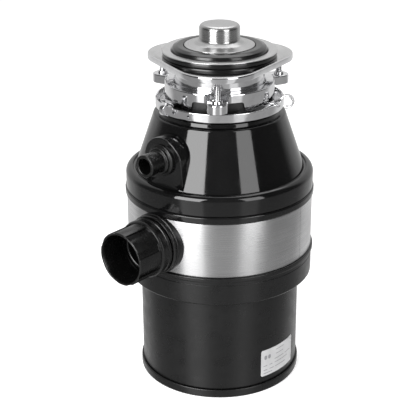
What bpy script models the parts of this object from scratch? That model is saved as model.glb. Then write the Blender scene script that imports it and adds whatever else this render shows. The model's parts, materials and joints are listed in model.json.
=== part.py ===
"""Kitchen food waste disposer with its three-bolt sink mount, sink flange and stopper.

Metres, +Z up. The origin is the centre of the flat bottom, on the motor's axis. The drain outlet and the
dishwasher inlet point along -Y. Each object is one physical piece of the disposer.
"""

import math

import bmesh
import bpy
from mathutils import Vector

# ---- Driving dimensions -------------------------------------------------------------------------------
ROUND = 24  # sides of a large turned piece
MIDDLE_ROUND = 16  # sides of a pipe, a collar or a coil
SMALL_ROUND = 12  # sides of a shaft or a small bore
PIN_ROUND = 8  # sides of a screw or a pin
GAP = 0.0003  # left between touching pieces

BASE_HEIGHT = 0.0088
BASE_RADIUS = 0.0844
CAN_RADIUS = 0.0824
CAN_WALL = 0.0025
LOWER_TRIM_BOTTOM = 0.1120
BAND_BOTTOM = 0.1423
BAND_TOP = 0.1982
BAND_RADIUS = 0.0949
BAND_WALL = 0.0010
UPPER_TRIM_TOP = 0.2060
SHOULDER_RADIUS = 0.0953
SHOULDER_TOP = 0.2265
CONE_BASE_RADIUS = 0.0855
CONE_TOP = 0.2830
CONE_TOP_RADIUS = 0.0657
NECK_RADIUS = 0.0605  # black collar under the lower mounting ring
NECK_TOP = 0.2872

CHAMBER_FLOOR = 0.1460  # underside of the drain chamber, which is also the motor's upper end frame
CHAMBER_RADIUS = 0.0865
CHAMBER_TOP = 0.2225
LEDGE = 0.1960  # the shredder ring stands here
TURNTABLE_TOP = 0.2022
TURNTABLE_RADIUS = 0.0735
SHAFT_RADIUS = 0.0060
PIN_OFFSET = 0.0450  # impeller pins, from the motor's axis

OUTLET_HEIGHT = 0.1700
OUTLET_BORE = 0.0195
OUTLET_TUBE = 0.0225
OUTLET_END = 0.1461
TUBE_END = 0.1160  # the discharge tube ends inside the nut, which holds the drain pipe's end
INLET_HEIGHT = 0.2536
INLET_BORE = 0.0078
INLET_END = 0.1104
BOSS_FACE = 0.0850  # flat face that the dishwasher inlet stands on, from the motor's axis
BOSS_HALF_WIDTH = 0.0238
BOSS_DROP = 0.0018  # the boss's arch is centred this far below the inlet

SINK_NECK = 0.0447  # outside of the sink flange's neck, for a 90 mm sink opening
SINK_BORE = 0.0429
FLANGE_RADIUS = 0.0570
FLANGE_TOP = 0.3455
PLATE_TOP = 0.3340  # flat seat under the sink gasket
PLATE_SEAT_RADIUS = 0.0577
PLATE_RIM_TOP = 0.3378  # the plate rises from its seat to this rim
PLATE_RIM_BOTTOM = 0.3318
PLATE_SHEET = 0.0016
PLATE_LOBE_OFFSET = 0.0370
PLATE_LOBE_RADIUS = 0.0405
SCREW_CIRCLE = 0.0680
SCREW_ANGLES = (308.2, 188.2, 68.2)  # degrees, clockwise seen from above
SNAP_RING_GROOVE = (0.3097, 0.3123)
UPPER_RING_RADIUS = 0.0548
UPPER_RING_BOTTOM = 0.2960
WEB_TOP = 0.3145  # top of the upper mounting ring
EAR_TOP = 0.3112
EAR_RADIUS = 0.0103
SKIRT_BOTTOM = 0.3017
SHEET = 0.0018  # thickness of the stamped mounting parts
RING_BOTTOM = 0.2890
RING_TOP = 0.2980
RING_RADIUS = 0.0640
LUG_OFFSET = 0.0693
LUG_HEIGHT = 0.2980
LUG_RADIUS = 0.0068
LUG_WIDTH = 0.0060
LUG_AHEAD_OF_SCREW = 74.5  # degrees from a screw to the next wrench lug
HOOK_AHEAD_OF_SCREW = 63.5  # degrees from a screw to the next bayonet hook
TAB_AHEAD_OF_SCREW = 44.0  # degrees from a screw to the middle of the next bayonet tab
TAB_HALF_ANGLE = 22.0
WINDOW_HALF_ANGLE = 27.5

KNOB_RADIUS = 0.0200
KNOB_TOP = 0.3715
STOPPER_DISC_RADIUS = 0.0347

MOTOR_STACK = (0.0780, 0.1160)  # bottom and top of the stator and rotor stacks
STATOR_HALF_WIDTH = 0.0525
ROTOR_RADIUS = 0.0325
BOLT_CIRCLE = 0.0635
END_FRAME_BOTTOM = 0.0460
BUTTON_PLACE = (0.0350, -0.0300)
BASE_SCREW_CIRCLE = 0.0745
CORD_HEIGHT = 0.0300


# ---- Making pieces ------------------------------------------------------------------------------------
def clear_scene():
    for obj in list(bpy.data.objects):
        bpy.data.objects.remove(obj)


def material(name, colour, roughness, metallic):
    made = bpy.data.materials.new(name)
    made.use_nodes = True
    shader = made.node_tree.nodes["Principled BSDF"]
    shader.inputs["Base Color"].default_value = (*colour, 1.0)
    shader.inputs["Roughness"].default_value = roughness
    shader.inputs["Metallic"].default_value = metallic
    made.diffuse_color = (*colour, 1.0)
    return made


def outline(*corners, steps=2):
    """A closed outline through corner points (a, b), where (a, b, radius) rounds that corner with an arc."""
    points = []
    for i, corner in enumerate(corners):
        here = Vector(corner[:2])
        if len(corner) == 2:
            points.append(tuple(here))
            continue
        back = (Vector(corners[i - 1][:2]) - here).normalized()
        ahead = (Vector(corners[(i + 1) % len(corners)][:2]) - here).normalized()
        half = back.angle(ahead) / 2
        centre = here + (back + ahead).normalized() * (corner[2] / math.sin(half))
        start = here + back * (corner[2] / math.tan(half)) - centre
        end = here + ahead * (corner[2] / math.tan(half)) - centre
        turn = math.atan2(start.x * end.y - start.y * end.x, start.dot(end))
        first = math.atan2(start.y, start.x)
        for k in range(steps + 1):
            angle = first + turn * k / steps
            points.append((centre.x + corner[2] * math.cos(angle), centre.y + corner[2] * math.sin(angle)))
    return points


def arc(radius, first, last, steps, centre=(0.0, 0.0)):
    """Points on an arc, angles in degrees."""
    angles = [math.radians(first + (last - first) * k / steps) for k in range(steps + 1)]
    return [(centre[0] + radius * math.cos(a), centre[1] + radius * math.sin(a)) for a in angles]


def polar(radius, degrees, height=0.0):
    angle = math.radians(degrees)
    return Vector((radius * math.cos(angle), radius * math.sin(angle), height))


def add_object(name, shape, finish):
    """Turns a bmesh into a smooth-shaded object with one material."""
    bmesh.ops.recalc_face_normals(shape, faces=shape.faces)
    mesh = bpy.data.meshes.new(name)
    shape.to_mesh(mesh)
    shape.free()
    mesh.shade_smooth()
    mesh.set_sharp_from_angle(angle=math.radians(35))
    mesh.materials.append(finish)
    made = bpy.data.objects.new(name, mesh)
    bpy.context.scene.collection.objects.link(made)
    return made


def turned(name, profile, finish, steps=ROUND):
    """A piece turned about Z from a profile of (radius, height) points. A profile that starts and ends on the
    axis stays open there, and any other is a closed loop."""
    shape = bmesh.new()
    loop = [shape.verts.new((radius, 0.0, height)) for radius, height in profile]
    on_axis = profile[0][0] == 0.0 and profile[-1][0] == 0.0
    following = loop[1:] if on_axis else loop[1:] + loop[:1]
    edges = [shape.edges.new(pair) for pair in zip(loop, following)]
    bmesh.ops.spin(
        shape, geom=loop + edges, cent=(0, 0, 0), axis=(0, 0, 1), angle=math.tau, steps=steps, use_merge=True
    )
    bmesh.ops.remove_doubles(shape, verts=shape.verts, dist=1e-7)
    return add_object(name, shape, finish)


def prism(name, points, bottom, top, finish):
    """A flat outline raised from bottom to top."""
    shape = bmesh.new()
    face = shape.faces.new([shape.verts.new((x, y, bottom)) for x, y in points])
    raised = bmesh.ops.extrude_face_region(shape, geom=[face])["geom"]
    moved = [item for item in raised if isinstance(item, bmesh.types.BMVert)]
    bmesh.ops.translate(shape, verts=moved, vec=(0, 0, top - bottom))
    return add_object(name, shape, finish)


def sector(name, radii, heights, middle, half_angle, finish, steps=6):
    """Part of a ring, centred on an angle in degrees."""
    inner, outer = radii
    points = arc(outer, middle - half_angle, middle + half_angle, steps)
    points += arc(inner, middle + half_angle, middle - half_angle, steps)
    return prism(name, points, *heights, finish)


def rounded_box(length, width, corner, steps=2):
    """The outline of a rectangle with rounded corners, centred on the origin."""
    a, b = length / 2, width / 2
    return outline((-a, -b, corner), (a, -b, corner), (a, b, corner), (-a, b, corner), steps=steps)


def disc(radius, bottom, top):
    """The profile of a solid disc or rod."""
    return [(0.0, bottom), (radius, bottom), (radius, top), (0.0, top)]


def ring(inner, outer, bottom, top):
    """The profile of a plain ring."""
    return [(inner, bottom), (outer, bottom), (outer, top), (inner, top)]


def place(obj, location, rotation=(0.0, 0.0, 0.0)):
    obj.location = location
    obj.rotation_euler = [math.radians(angle) for angle in rotation]
    return obj


def along_outlet(obj, height):
    """Turns a piece made about Z so that its +Z points along -Y, at a height."""
    return place(obj, (0.0, 0.0, height), (90.0, 0.0, 0.0))


def combine(target, tool, operation, solver):
    """Joins or cuts with another object, which is then only a helper."""
    step = target.modifiers.new(f"{operation.lower()}_{tool.name}", "BOOLEAN")
    step.operation = operation
    step.solver = solver
    step.object = tool
    tool.hide_render = True
    tool.display_type = "WIRE"


def cut(target, tool, solver="EXACT"):
    combine(target, tool, "DIFFERENCE", solver)


def join(target, tool, solver="EXACT"):
    combine(target, tool, "UNION", solver)


# ---- Stopper ------------------------------------------------------------------------------------------
def make_stopper(finishes):
    wall = 0.0012
    disc_height = 0.3488
    base_height = 0.3546
    cap = outline(
        (0.0, KNOB_TOP),
        (0.0150, KNOB_TOP - 0.0004),
        (KNOB_RADIUS, KNOB_TOP - 0.0012, 0.0022),
        (KNOB_RADIUS, base_height, 0.0015),
        (STOPPER_DISC_RADIUS, disc_height + wall),
        (STOPPER_DISC_RADIUS, disc_height),
        (KNOB_RADIUS - wall, base_height - wall),
        (KNOB_RADIUS - wall, KNOB_TOP - 0.0034),
        (0.0, KNOB_TOP - wall - 0.0004),
    )
    turned("stopper_cap", cap, finishes["brushed_steel"])
    seal_inner = STOPPER_DISC_RADIUS + 0.0006
    seal = outline(
        (seal_inner, 0.3390),
        (0.0424, 0.3390),
        (0.0446, 0.3424),
        (0.0466, 0.3442),
        (0.0462, 0.3472, 0.0018),
        (0.0415, 0.3497, 0.0018),
        (seal_inner, 0.3497, 0.0010),
    )
    turned("stopper_seal", seal, finishes["rubber"])
    plug = [
        (0.0, 0.3640), (0.0100, 0.3640), (0.0110, 0.3478), (0.0345, 0.3478), (0.0345, 0.3440),
        (0.0320, 0.3430), (0.0320, 0.3300), (0.0295, 0.3300), (0.0295, 0.3420), (0.0, 0.3420),
    ]
    turned("stopper_plug", plug, finishes["plastic_satin"])


# ---- Sink mount ---------------------------------------------------------------------------------------
def make_sink_flange(finishes):
    lip = 0.0012
    rim_inner = 0.0485
    groove = SNAP_RING_GROOVE
    bottom = 0.3000
    profile = [
        (SINK_BORE, bottom), (SINK_NECK, bottom), (SINK_NECK, groove[0]),
        (SINK_NECK - 0.0009, groove[0]), (SINK_NECK - 0.0009, groove[1]), (SINK_NECK, groove[1]),
        (SINK_NECK, 0.3405), (0.0475, 0.3443), (FLANGE_RADIUS - 0.0004, 0.3443),
        (FLANGE_RADIUS, 0.3443 + lip / 2), (FLANGE_RADIUS - 0.0010, FLANGE_TOP),
        (rim_inner, FLANGE_TOP - 0.0003), (0.0450, 0.3425), (SINK_BORE, 0.3380),
    ]
    turned("sink_flange", profile, finishes["polished_steel"])
    middle = (groove[0] + groove[1]) / 2
    wire = arc(0.00095, 0, 300, 5, (SINK_NECK + 0.00045, middle))
    turned("snap_ring", wire, finishes["spring_steel"])
    inner = 0.0480
    turned("flange_gasket", ring(inner, 0.0562, 0.3395, 0.3440), finishes["rubber"])
    turned("sink_gasket", ring(SINK_NECK + 0.0005, 0.0567, PLATE_TOP + GAP, 0.3392), finishes["rubber"])


def plate_reach(degrees):
    """Distance from the axis to the plate's outline: a lobe towards each screw and straight sides."""
    from_lobe = min(abs((degrees - angle + 180) % 360 - 180) for angle in SCREW_ANGLES)
    side = PLATE_LOBE_OFFSET / 2 + PLATE_LOBE_RADIUS
    along, across = PLATE_LOBE_OFFSET + PLATE_LOBE_RADIUS / 2, PLATE_LOBE_RADIUS * math.sin(math.radians(60))
    if from_lobe > math.degrees(math.atan2(across, along)):
        return side / math.cos(math.radians(60 - from_lobe))
    turn = math.radians(from_lobe)
    chord = PLATE_LOBE_OFFSET * math.sin(turn)
    return PLATE_LOBE_OFFSET * math.cos(turn) + math.sqrt(PLATE_LOBE_RADIUS**2 - chord**2)


def make_backup_plate(finishes):
    """A dished plate: its lobes rise from the gasket's seat to a rim that turns down."""
    inner = SINK_NECK + 0.0006
    underside = PLATE_TOP - PLATE_SHEET
    shortest = plate_reach(SCREW_ANGLES[0] + 60)
    longest = plate_reach(SCREW_ANGLES[0])
    directions = 48
    shape = bmesh.new()
    rows = []
    for k in range(directions):
        degrees = SCREW_ANGLES[0] + 360 * k / directions
        reach = plate_reach(degrees)
        lift = (reach - shortest) / (longest - shortest) * (PLATE_RIM_TOP - 0.0010 - PLATE_TOP)
        section = [
            (inner, underside), (inner, PLATE_TOP), (PLATE_SEAT_RADIUS, PLATE_TOP),
            (reach - 0.0012, PLATE_RIM_TOP), (reach, PLATE_RIM_TOP - 0.0012),
            (reach, PLATE_RIM_BOTTOM), (reach - PLATE_SHEET, PLATE_RIM_BOTTOM),
            (reach - PLATE_SHEET, underside + lift), (PLATE_SEAT_RADIUS - 0.0008, underside),
        ]
        rows.append([shape.verts.new(polar(radius, degrees, height)) for radius, height in section])
    for here, there in zip(rows, rows[1:] + rows[:1]):
        for i in range(len(here)):
            shape.faces.new((here[i - 1], here[i], there[i], there[i - 1]))
    add_object("backup_plate", shape, finishes["polished_steel"])


def make_upper_mounting_ring(finishes):
    """Stamped ring that hangs on the snap ring, with three ears for the screws and three bayonet tabs."""
    finish = finishes["polished_steel"]
    wall, bottom, lip = UPPER_RING_RADIUS, UPPER_RING_BOTTOM, 0.0575
    profile = [
        (0.0455, WEB_TOP - SHEET), (0.0455, WEB_TOP), (lip, WEB_TOP), (lip, WEB_TOP - SHEET),
        (wall, WEB_TOP - SHEET), (wall, bottom), (wall - SHEET, bottom),
        (wall - SHEET, WEB_TOP - SHEET),
    ]
    body = turned("upper_mounting_ring", profile, finish)
    for k, angle in enumerate(SCREW_ANGLES):
        opening = (0.290, 0.3053)
        window = sector(f"cutter_window_{k}", (0.048, 0.060), opening, angle, WINDOW_HALF_ANGLE, finish)
        cut(body, window, "MANIFOLD")
        notch = prism(
            f"cutter_lip_{k}", [(wall, -0.0112), (0.060, -0.0112), (0.060, 0.0112), (wall, 0.0112)],
            EAR_TOP, 0.320, finish,
        )
        cut(body, place(notch, (0, 0, 0), (0, 0, angle)), "MANIFOLD")
        tab_angle = angle + TAB_AHEAD_OF_SCREW
        tab_heights = (bottom - 0.0002, bottom + 0.0015)
        tab = sector(f"tab_{k}", (wall - 0.0009, 0.0605), tab_heights, tab_angle, TAB_HALF_ANGLE, finish)
        join(body, tab, "MANIFOLD")
        tongue = [(wall - 0.0012, -EAR_RADIUS)] + arc(EAR_RADIUS, -90, 90, 8, (SCREW_CIRCLE, 0))
        tongue += [(wall - 0.0012, EAR_RADIUS)]
        ear = prism(f"ear_{k}", tongue, EAR_TOP - SHEET, EAR_TOP, finish)
        join(body, place(ear, (0, 0, 0), (0, 0, angle)), "MANIFOLD")
        foot = wall + 0.0010 - SCREW_CIRCLE
        outer, inner = EAR_RADIUS - 0.0001, EAR_RADIUS - SHEET
        bend = [(foot, -outer), *arc(outer, -90, 90, 8), (foot, outer), (foot, inner)]
        bend += [*arc(inner, 90, -90, 8), (foot, -inner)]
        skirt = prism(f"skirt_{k}", bend, SKIRT_BOTTOM, EAR_TOP - 0.0004, finish)
        join(body, place(skirt, polar(SCREW_CIRCLE, angle), (0, 0, angle)), "MANIFOLD")
        collar = turned(f"collar_{k}", disc(0.0050, EAR_TOP - 0.0010, EAR_TOP + 0.0025), finish, SMALL_ROUND)
        join(body, place(collar, polar(SCREW_CIRCLE, angle)), "MANIFOLD")
        hole = turned(f"cutter_screw_{k}", disc(0.0034, 0.300, 0.320), finish, SMALL_ROUND)
        cut(body, place(hole, polar(SCREW_CIRCLE, angle)), "MANIFOLD")


def make_mounting_screws(finishes):
    top = PLATE_TOP - 0.0010
    head = (EAR_TOP - 0.0075, EAR_TOP - 0.0035)
    profile = [
        (0.0, head[0]), (0.0052, head[0]), (0.0052, head[1]), (0.0030, head[1]), (0.0030, top - 0.0020),
        (0.0014, top), (0.0, top),
    ]
    for k, angle in enumerate(SCREW_ANGLES):
        screw = turned(f"mounting_screw_{k + 1}", profile, finishes["polished_steel"], SMALL_ROUND)
        place(screw, polar(SCREW_CIRCLE, angle))


def make_lower_mounting_ring(finishes):
    """Ring that turns on the disposer's collar, with bayonet hooks and rolled lugs for the wrench."""
    finish = finishes["polished_steel"]
    web = 0.0015
    profile = [
        (0.0535, RING_BOTTOM), (RING_RADIUS, RING_BOTTOM), (RING_RADIUS, RING_TOP),
        (RING_RADIUS - SHEET, RING_TOP), (RING_RADIUS - SHEET, RING_BOTTOM + web),
        (0.0535, RING_BOTTOM + web),
    ]
    body = turned("lower_mounting_ring", profile, finish)
    lug_outline = arc(LUG_RADIUS, 188, -110, 16) + arc(LUG_RADIUS - SHEET, -110, 188, 16)
    for k, angle in enumerate(SCREW_ANGLES):
        hook_angle = angle + HOOK_AHEAD_OF_SCREW
        post_radii = (RING_RADIUS - SHEET, RING_RADIUS - 0.0001)
        join(body, sector(f"post_{k}", post_radii, (0.2970, 0.2995), hook_angle, 4, finish, 2))
        finger_radii = (0.0568, RING_RADIUS - 0.0003)
        join(body, sector(f"finger_{k}", finger_radii, (0.2982, 0.2996), hook_angle, 4.2, finish, 2))
        lug = prism(f"lug_{k}", lug_outline, -LUG_WIDTH / 2, LUG_WIDTH / 2, finish)
        lug_angle = angle + LUG_AHEAD_OF_SCREW
        place(lug, polar(LUG_OFFSET, lug_angle, LUG_HEIGHT), (90, 0, lug_angle))
        join(body, lug)


def make_rubber_mount(finishes):
    tube = (0.0455, 0.0524)
    flange = 0.0598
    profile = [
        (tube[0], 0.2820), (tube[1], 0.2820), (tube[1], NECK_TOP + GAP), (flange, NECK_TOP + GAP),
        (flange, RING_BOTTOM - GAP), (tube[1], RING_BOTTOM - GAP), (tube[1], 0.3074), (tube[0], 0.3074),
    ]
    turned("mounting_gasket", profile, finishes["rubber"])
    rim = (0.0415, 0.0451)
    centre_hole = 0.0140
    baffle = [
        (rim[0], 0.2925), (rim[1], 0.2925), (rim[1], 0.2990), (rim[0], 0.2990), (rim[0], 0.2965),
        (centre_hole, 0.2945), (centre_hole, 0.2930), (rim[0], 0.2948),
    ]
    guard = turned("splash_guard", baffle, finishes["rubber"])
    for k in range(4):
        slit = prism(
            f"cutter_slit_{k}", [(-0.036, -0.0006), (0.036, -0.0006), (0.036, 0.0006), (-0.036, 0.0006)],
            0.28, 0.31, finishes["rubber"],
        )
        cut(guard, place(slit, (0, 0, 0), (0, 0, 22.5 + 45 * k)))


# ---- Housing ------------------------------------------------------------------------------------------
def make_upper_cover(finishes):
    """Shoulder and hopper cone in one moulding, with the arched boss of the dishwasher inlet."""
    finish = finishes["plastic_gloss"]
    bottom = UPPER_TRIM_TOP + GAP
    outside = outline(
        (0.0, bottom),
        (SHOULDER_RADIUS, bottom),
        (SHOULDER_RADIUS, SHOULDER_TOP, 0.0060),
        (CONE_BASE_RADIUS + 0.0020, SHOULDER_TOP),
        (CONE_BASE_RADIUS + 0.0015, SHOULDER_TOP - 0.0012),
        (CONE_BASE_RADIUS + 0.0003, SHOULDER_TOP - 0.0012),
        (CONE_TOP_RADIUS, CONE_TOP, 0.0025),
        (NECK_RADIUS, CONE_TOP),
        (NECK_RADIUS, NECK_TOP),
        (0.0, NECK_TOP),
    )
    cover = turned("hopper_cover", outside, finish)
    half, straight = BOSS_HALF_WIDTH, SHOULDER_TOP - INLET_HEIGHT + 0.0006
    arch = [(-half, straight), (half, straight)] + arc(half, 0, 180, 12, (0.0, -BOSS_DROP))
    boss = prism("inlet_boss", arch, 0.0450, BOSS_FACE, finish)
    join(cover, along_outlet(boss, INLET_HEIGHT))
    inside = [
        (0.0, 0.3000), (0.0530, 0.3000), (0.0530, 0.2805), (0.0500, 0.2805), (0.0500, 0.2775),
        (0.0640, 0.2775), (0.0812, 0.2290), (0.0812, 0.2228), (SHOULDER_RADIUS - 0.0028, 0.2228),
        (SHOULDER_RADIUS - 0.0028, 0.2000), (0.0, 0.2000),
    ]
    cut(cover, turned("cutter_hopper", inside, finish))
    bore = turned("cutter_inlet", disc(INLET_BORE, 0.0500, 0.1000), finish, SMALL_ROUND)
    cut(cover, along_outlet(bore, INLET_HEIGHT))


def make_trims(finishes):
    wall = 0.0930
    bead = 0.0969
    lower = [
        (CAN_RADIUS + GAP, LOWER_TRIM_BOTTOM), (0.0945, LOWER_TRIM_BOTTOM),
        (0.0955, LOWER_TRIM_BOTTOM + 0.0012), (0.0955, 0.1370), (bead, 0.1385), (bead, 0.1412),
        (0.0962, BAND_BOTTOM - GAP), (wall, BAND_BOTTOM - GAP), (wall, LOWER_TRIM_BOTTOM + 0.0025),
        (CAN_RADIUS + GAP, LOWER_TRIM_BOTTOM + 0.0025),
    ]
    turned("lower_trim_ring", lower, finishes["plastic_satin"])
    upper = [
        (0.0928, BAND_TOP + GAP), (0.0958, BAND_TOP + GAP), (0.0964, BAND_TOP + 0.0010),
        (0.0964, UPPER_TRIM_TOP - 0.0008), (0.0958, UPPER_TRIM_TOP), (0.0928, UPPER_TRIM_TOP),
    ]
    turned("upper_trim_ring", upper, finishes["plastic_gloss"])
    sleeve = ring(BAND_RADIUS - BAND_WALL, BAND_RADIUS, BAND_BOTTOM, BAND_TOP)
    band = turned("steel_band", sleeve, finishes["brushed_steel"])
    hole = turned("cutter_band", disc(0.0265, 0.0500, 0.1200), finishes["brushed_steel"], MIDDLE_ROUND)
    cut(band, along_outlet(hole, OUTLET_HEIGHT))


def make_can(finishes):
    finish = finishes["plastic_satin"]
    inner = CAN_RADIUS - CAN_WALL
    bottom = BASE_HEIGHT + GAP
    profile = [
        (0.0700, bottom), (CAN_RADIUS, bottom), (CAN_RADIUS, 0.1400), (inner, 0.1400),
        (inner, bottom + 0.0030), (0.0700, bottom + 0.0030),
    ]
    can = turned("motor_can", profile, finish)
    cord_hole = turned("cutter_cord", disc(0.0070, 0.0600, 0.1000), finish, SMALL_ROUND)
    cut(can, place(cord_hole, (0, 0, CORD_HEIGHT), (-90, 0, 0)))
    for k in range(3):
        hole = turned(f"cutter_can_screw_{k}", disc(0.0019, 0.0, 0.02), finish, PIN_ROUND)
        cut(can, place(hole, polar(BASE_SCREW_CIRCLE, 120 * k)))
    grommet = [
        (0.0042, 0.0760), (0.0085, 0.0760), (0.0085, 0.0786), (0.0066, 0.0786), (0.0066, 0.0834),
        (0.0090, 0.0834), (0.0080, 0.0870), (0.0042, 0.0870),
    ]
    gland = turned("power_cord_grommet", grommet, finishes["rubber"], SMALL_ROUND)
    place(gland, (0, 0, CORD_HEIGHT), (-90, 0, 0))


def make_base(finishes):
    finish = finishes["plastic_satin"]
    floor = 0.0030
    profile = [
        (0.0, 0.0), (BASE_RADIUS - 0.0006, 0.0), (BASE_RADIUS, 0.0006),
        (BASE_RADIUS, BASE_HEIGHT - 0.0006), (BASE_RADIUS - 0.0006, BASE_HEIGHT),
        (0.0805, BASE_HEIGHT), (0.0805, floor), (0.0, floor),
    ]
    base = turned("base_cover", profile, finish)
    button_hole = turned("cutter_button", disc(0.0066, -0.01, 0.01), finish, SMALL_ROUND)
    cut(base, place(button_hole, (*BUTTON_PLACE, 0)), "MANIFOLD")
    screw = [
        (0.0, 0.0006), (0.0032, 0.0006), (0.0032, 0.0020), (0.0016, 0.0020), (0.0016, 0.0190),
        (0.0, 0.0190),
    ]
    for k in range(3):
        boss = turned(f"base_boss_{k}", disc(0.0050, 0.0020, BASE_HEIGHT - 0.0001), finish, PIN_ROUND)
        join(base, place(boss, polar(BASE_SCREW_CIRCLE, 120 * k)), "MANIFOLD")
        hole = turned(f"cutter_base_{k}", disc(0.0019, -0.01, 0.02), finish, PIN_ROUND)
        cut(base, place(hole, polar(BASE_SCREW_CIRCLE, 120 * k)), "MANIFOLD")
        sink = turned(f"cutter_sink_{k}", disc(0.0036, -0.01, 0.0024), finish, PIN_ROUND)
        cut(base, place(sink, polar(BASE_SCREW_CIRCLE, 120 * k)), "MANIFOLD")
        fastener = turned(f"base_screw_{k + 1}", screw, finishes["spring_steel"], PIN_ROUND)
        place(fastener, polar(BASE_SCREW_CIRCLE, 120 * k))


def make_label(finishes):
    inner = CAN_RADIUS + GAP
    sector("rating_label", (inner, inner + GAP), (0.0162, 0.0465), 358.3, 17.2, finishes["label"], 10)


# ---- Connections --------------------------------------------------------------------------------------
def make_outlet(finishes):
    tube = [
        (OUTLET_BORE, 0.0892), (0.0262, 0.0892), (0.0262, 0.0908), (OUTLET_TUBE, 0.0908),
        (OUTLET_TUBE, TUBE_END), (OUTLET_BORE, TUBE_END),
    ]
    along_outlet(turned("discharge_tube", tube, finishes["plastic_satin"], MIDDLE_ROUND), OUTLET_HEIGHT)
    washer = ring(OUTLET_BORE + 0.0008, 0.0262, 0.0871, 0.0889)
    along_outlet(turned("outlet_gasket", washer, finishes["rubber"], MIDDLE_ROUND), OUTLET_HEIGHT)
    sleeve = ring(OUTLET_TUBE + 0.0004, 0.0305, 0.0700, 0.0985)
    saddle = turned("outlet_saddle", sleeve, finishes["plastic_satin"], MIDDLE_ROUND)
    along_outlet(saddle, OUTLET_HEIGHT)
    on_band, on_trim = BAND_RADIUS + 0.0004, 0.0973
    body = [
        (0.0, 0.1000), (on_trim, 0.1000), (on_trim, BAND_BOTTOM + GAP), (on_band, BAND_BOTTOM + GAP),
        (on_band, BAND_TOP - GAP), (on_trim, BAND_TOP - GAP), (on_trim, 0.2300), (0.0, 0.2300),
    ]
    cut(saddle, turned("cutter_saddle", body, finishes["plastic_satin"]))
    seal = [
        (OUTLET_TUBE + 0.0004, 0.0990), (0.0295, 0.0990), (0.0300, 0.1000), (0.0300, 0.1022),
        (0.0295, 0.1030), (OUTLET_TUBE + 0.0004, 0.1030),
    ]
    along_outlet(turned("outlet_seal", seal, finishes["rubber"], MIDDLE_ROUND), OUTLET_HEIGHT)
    bore = OUTLET_TUBE + 0.0008
    nut = [
        (bore, 0.1040), (0.0280, 0.1040), (0.0288, 0.1052), (0.0288, 0.1155), (0.0276, 0.1170),
        (0.0254, 0.1176), (0.0254, OUTLET_END - 0.0024), (0.0260, OUTLET_END - 0.0020),
        (0.0260, OUTLET_END), (bore, OUTLET_END),
    ]
    nut_piece = turned("outlet_nut", nut, finishes["plastic_satin"], MIDDLE_ROUND)
    for k in range(8):
        rib = prism(
            f"nut_rib_{k}", [(0.0240, -0.0066), (0.0267, -0.0060), (0.0267, 0.0060), (0.0240, 0.0066)],
            0.1160, OUTLET_END - 0.0006, finishes["plastic_satin"],
        )
        rib.rotation_euler.z = math.radians(45 * k)
        rib.parent = nut_piece
        join(nut_piece, rib)
    along_outlet(nut_piece, OUTLET_HEIGHT)


def make_inlet(finishes):
    start = BOSS_FACE + GAP
    profile = [
        (INLET_BORE, start), (0.0155, start), (0.0155, start + 0.0050), (0.0125, start + 0.0060),
        (0.0105, start + 0.0060), (0.0105, 0.0990), (0.0111, 0.1000), (0.0111, INLET_END),
        (INLET_BORE, INLET_END),
    ]
    along_outlet(turned("dishwasher_inlet", profile, finishes["plastic_satin"], MIDDLE_ROUND), INLET_HEIGHT)


# ---- Grinding parts -----------------------------------------------------------------------------------
def make_chamber(finishes):
    """Drain chamber below the turntable. Its floor carries the motor's upper bearing and the shaft seal."""
    finish = finishes["cast_aluminium"]
    floor = CHAMBER_FLOOR + 0.0040
    profile = [
        (0.0165, CHAMBER_FLOOR), (CHAMBER_RADIUS - 0.0030, CHAMBER_FLOOR),
        (CHAMBER_RADIUS - 0.0030, LEDGE - 0.0040), (CHAMBER_RADIUS, LEDGE - 0.0010),
        (CHAMBER_RADIUS, CHAMBER_TOP), (0.0835, CHAMBER_TOP), (0.0835, LEDGE), (0.0800, LEDGE),
        (0.0800, floor), (0.0270, floor), (0.0225, 0.1880), (0.0165, 0.1880),
    ]
    chamber = turned("drain_chamber", profile, finish)
    pad = turned("outlet_pad", disc(0.0262, 0.0780, 0.0868), finish, MIDDLE_ROUND)
    join(chamber, along_outlet(pad, OUTLET_HEIGHT))
    port = turned("cutter_port", disc(OUTLET_BORE + 0.0004, 0.0600, 0.1000), finish, MIDDLE_ROUND)
    cut(chamber, along_outlet(port, OUTLET_HEIGHT))


def make_shredder_ring(finishes):
    finish = finishes["stainless"]
    bore = 0.0760
    grinder = turned("shredder_ring", ring(bore, 0.0831, LEDGE + GAP, CHAMBER_TOP - GAP), finish)
    for k in range(12):
        slot = prism(
            f"cutter_slot_{k}", [(0.0740, -0.0030), (0.0790, -0.0030), (0.0790, 0.0030), (0.0740, 0.0030)],
            0.1900, 0.2140, finish,
        )
        cut(grinder, place(slot, (0, 0, 0), (0, 0, 30 * k + 5)))


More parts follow.
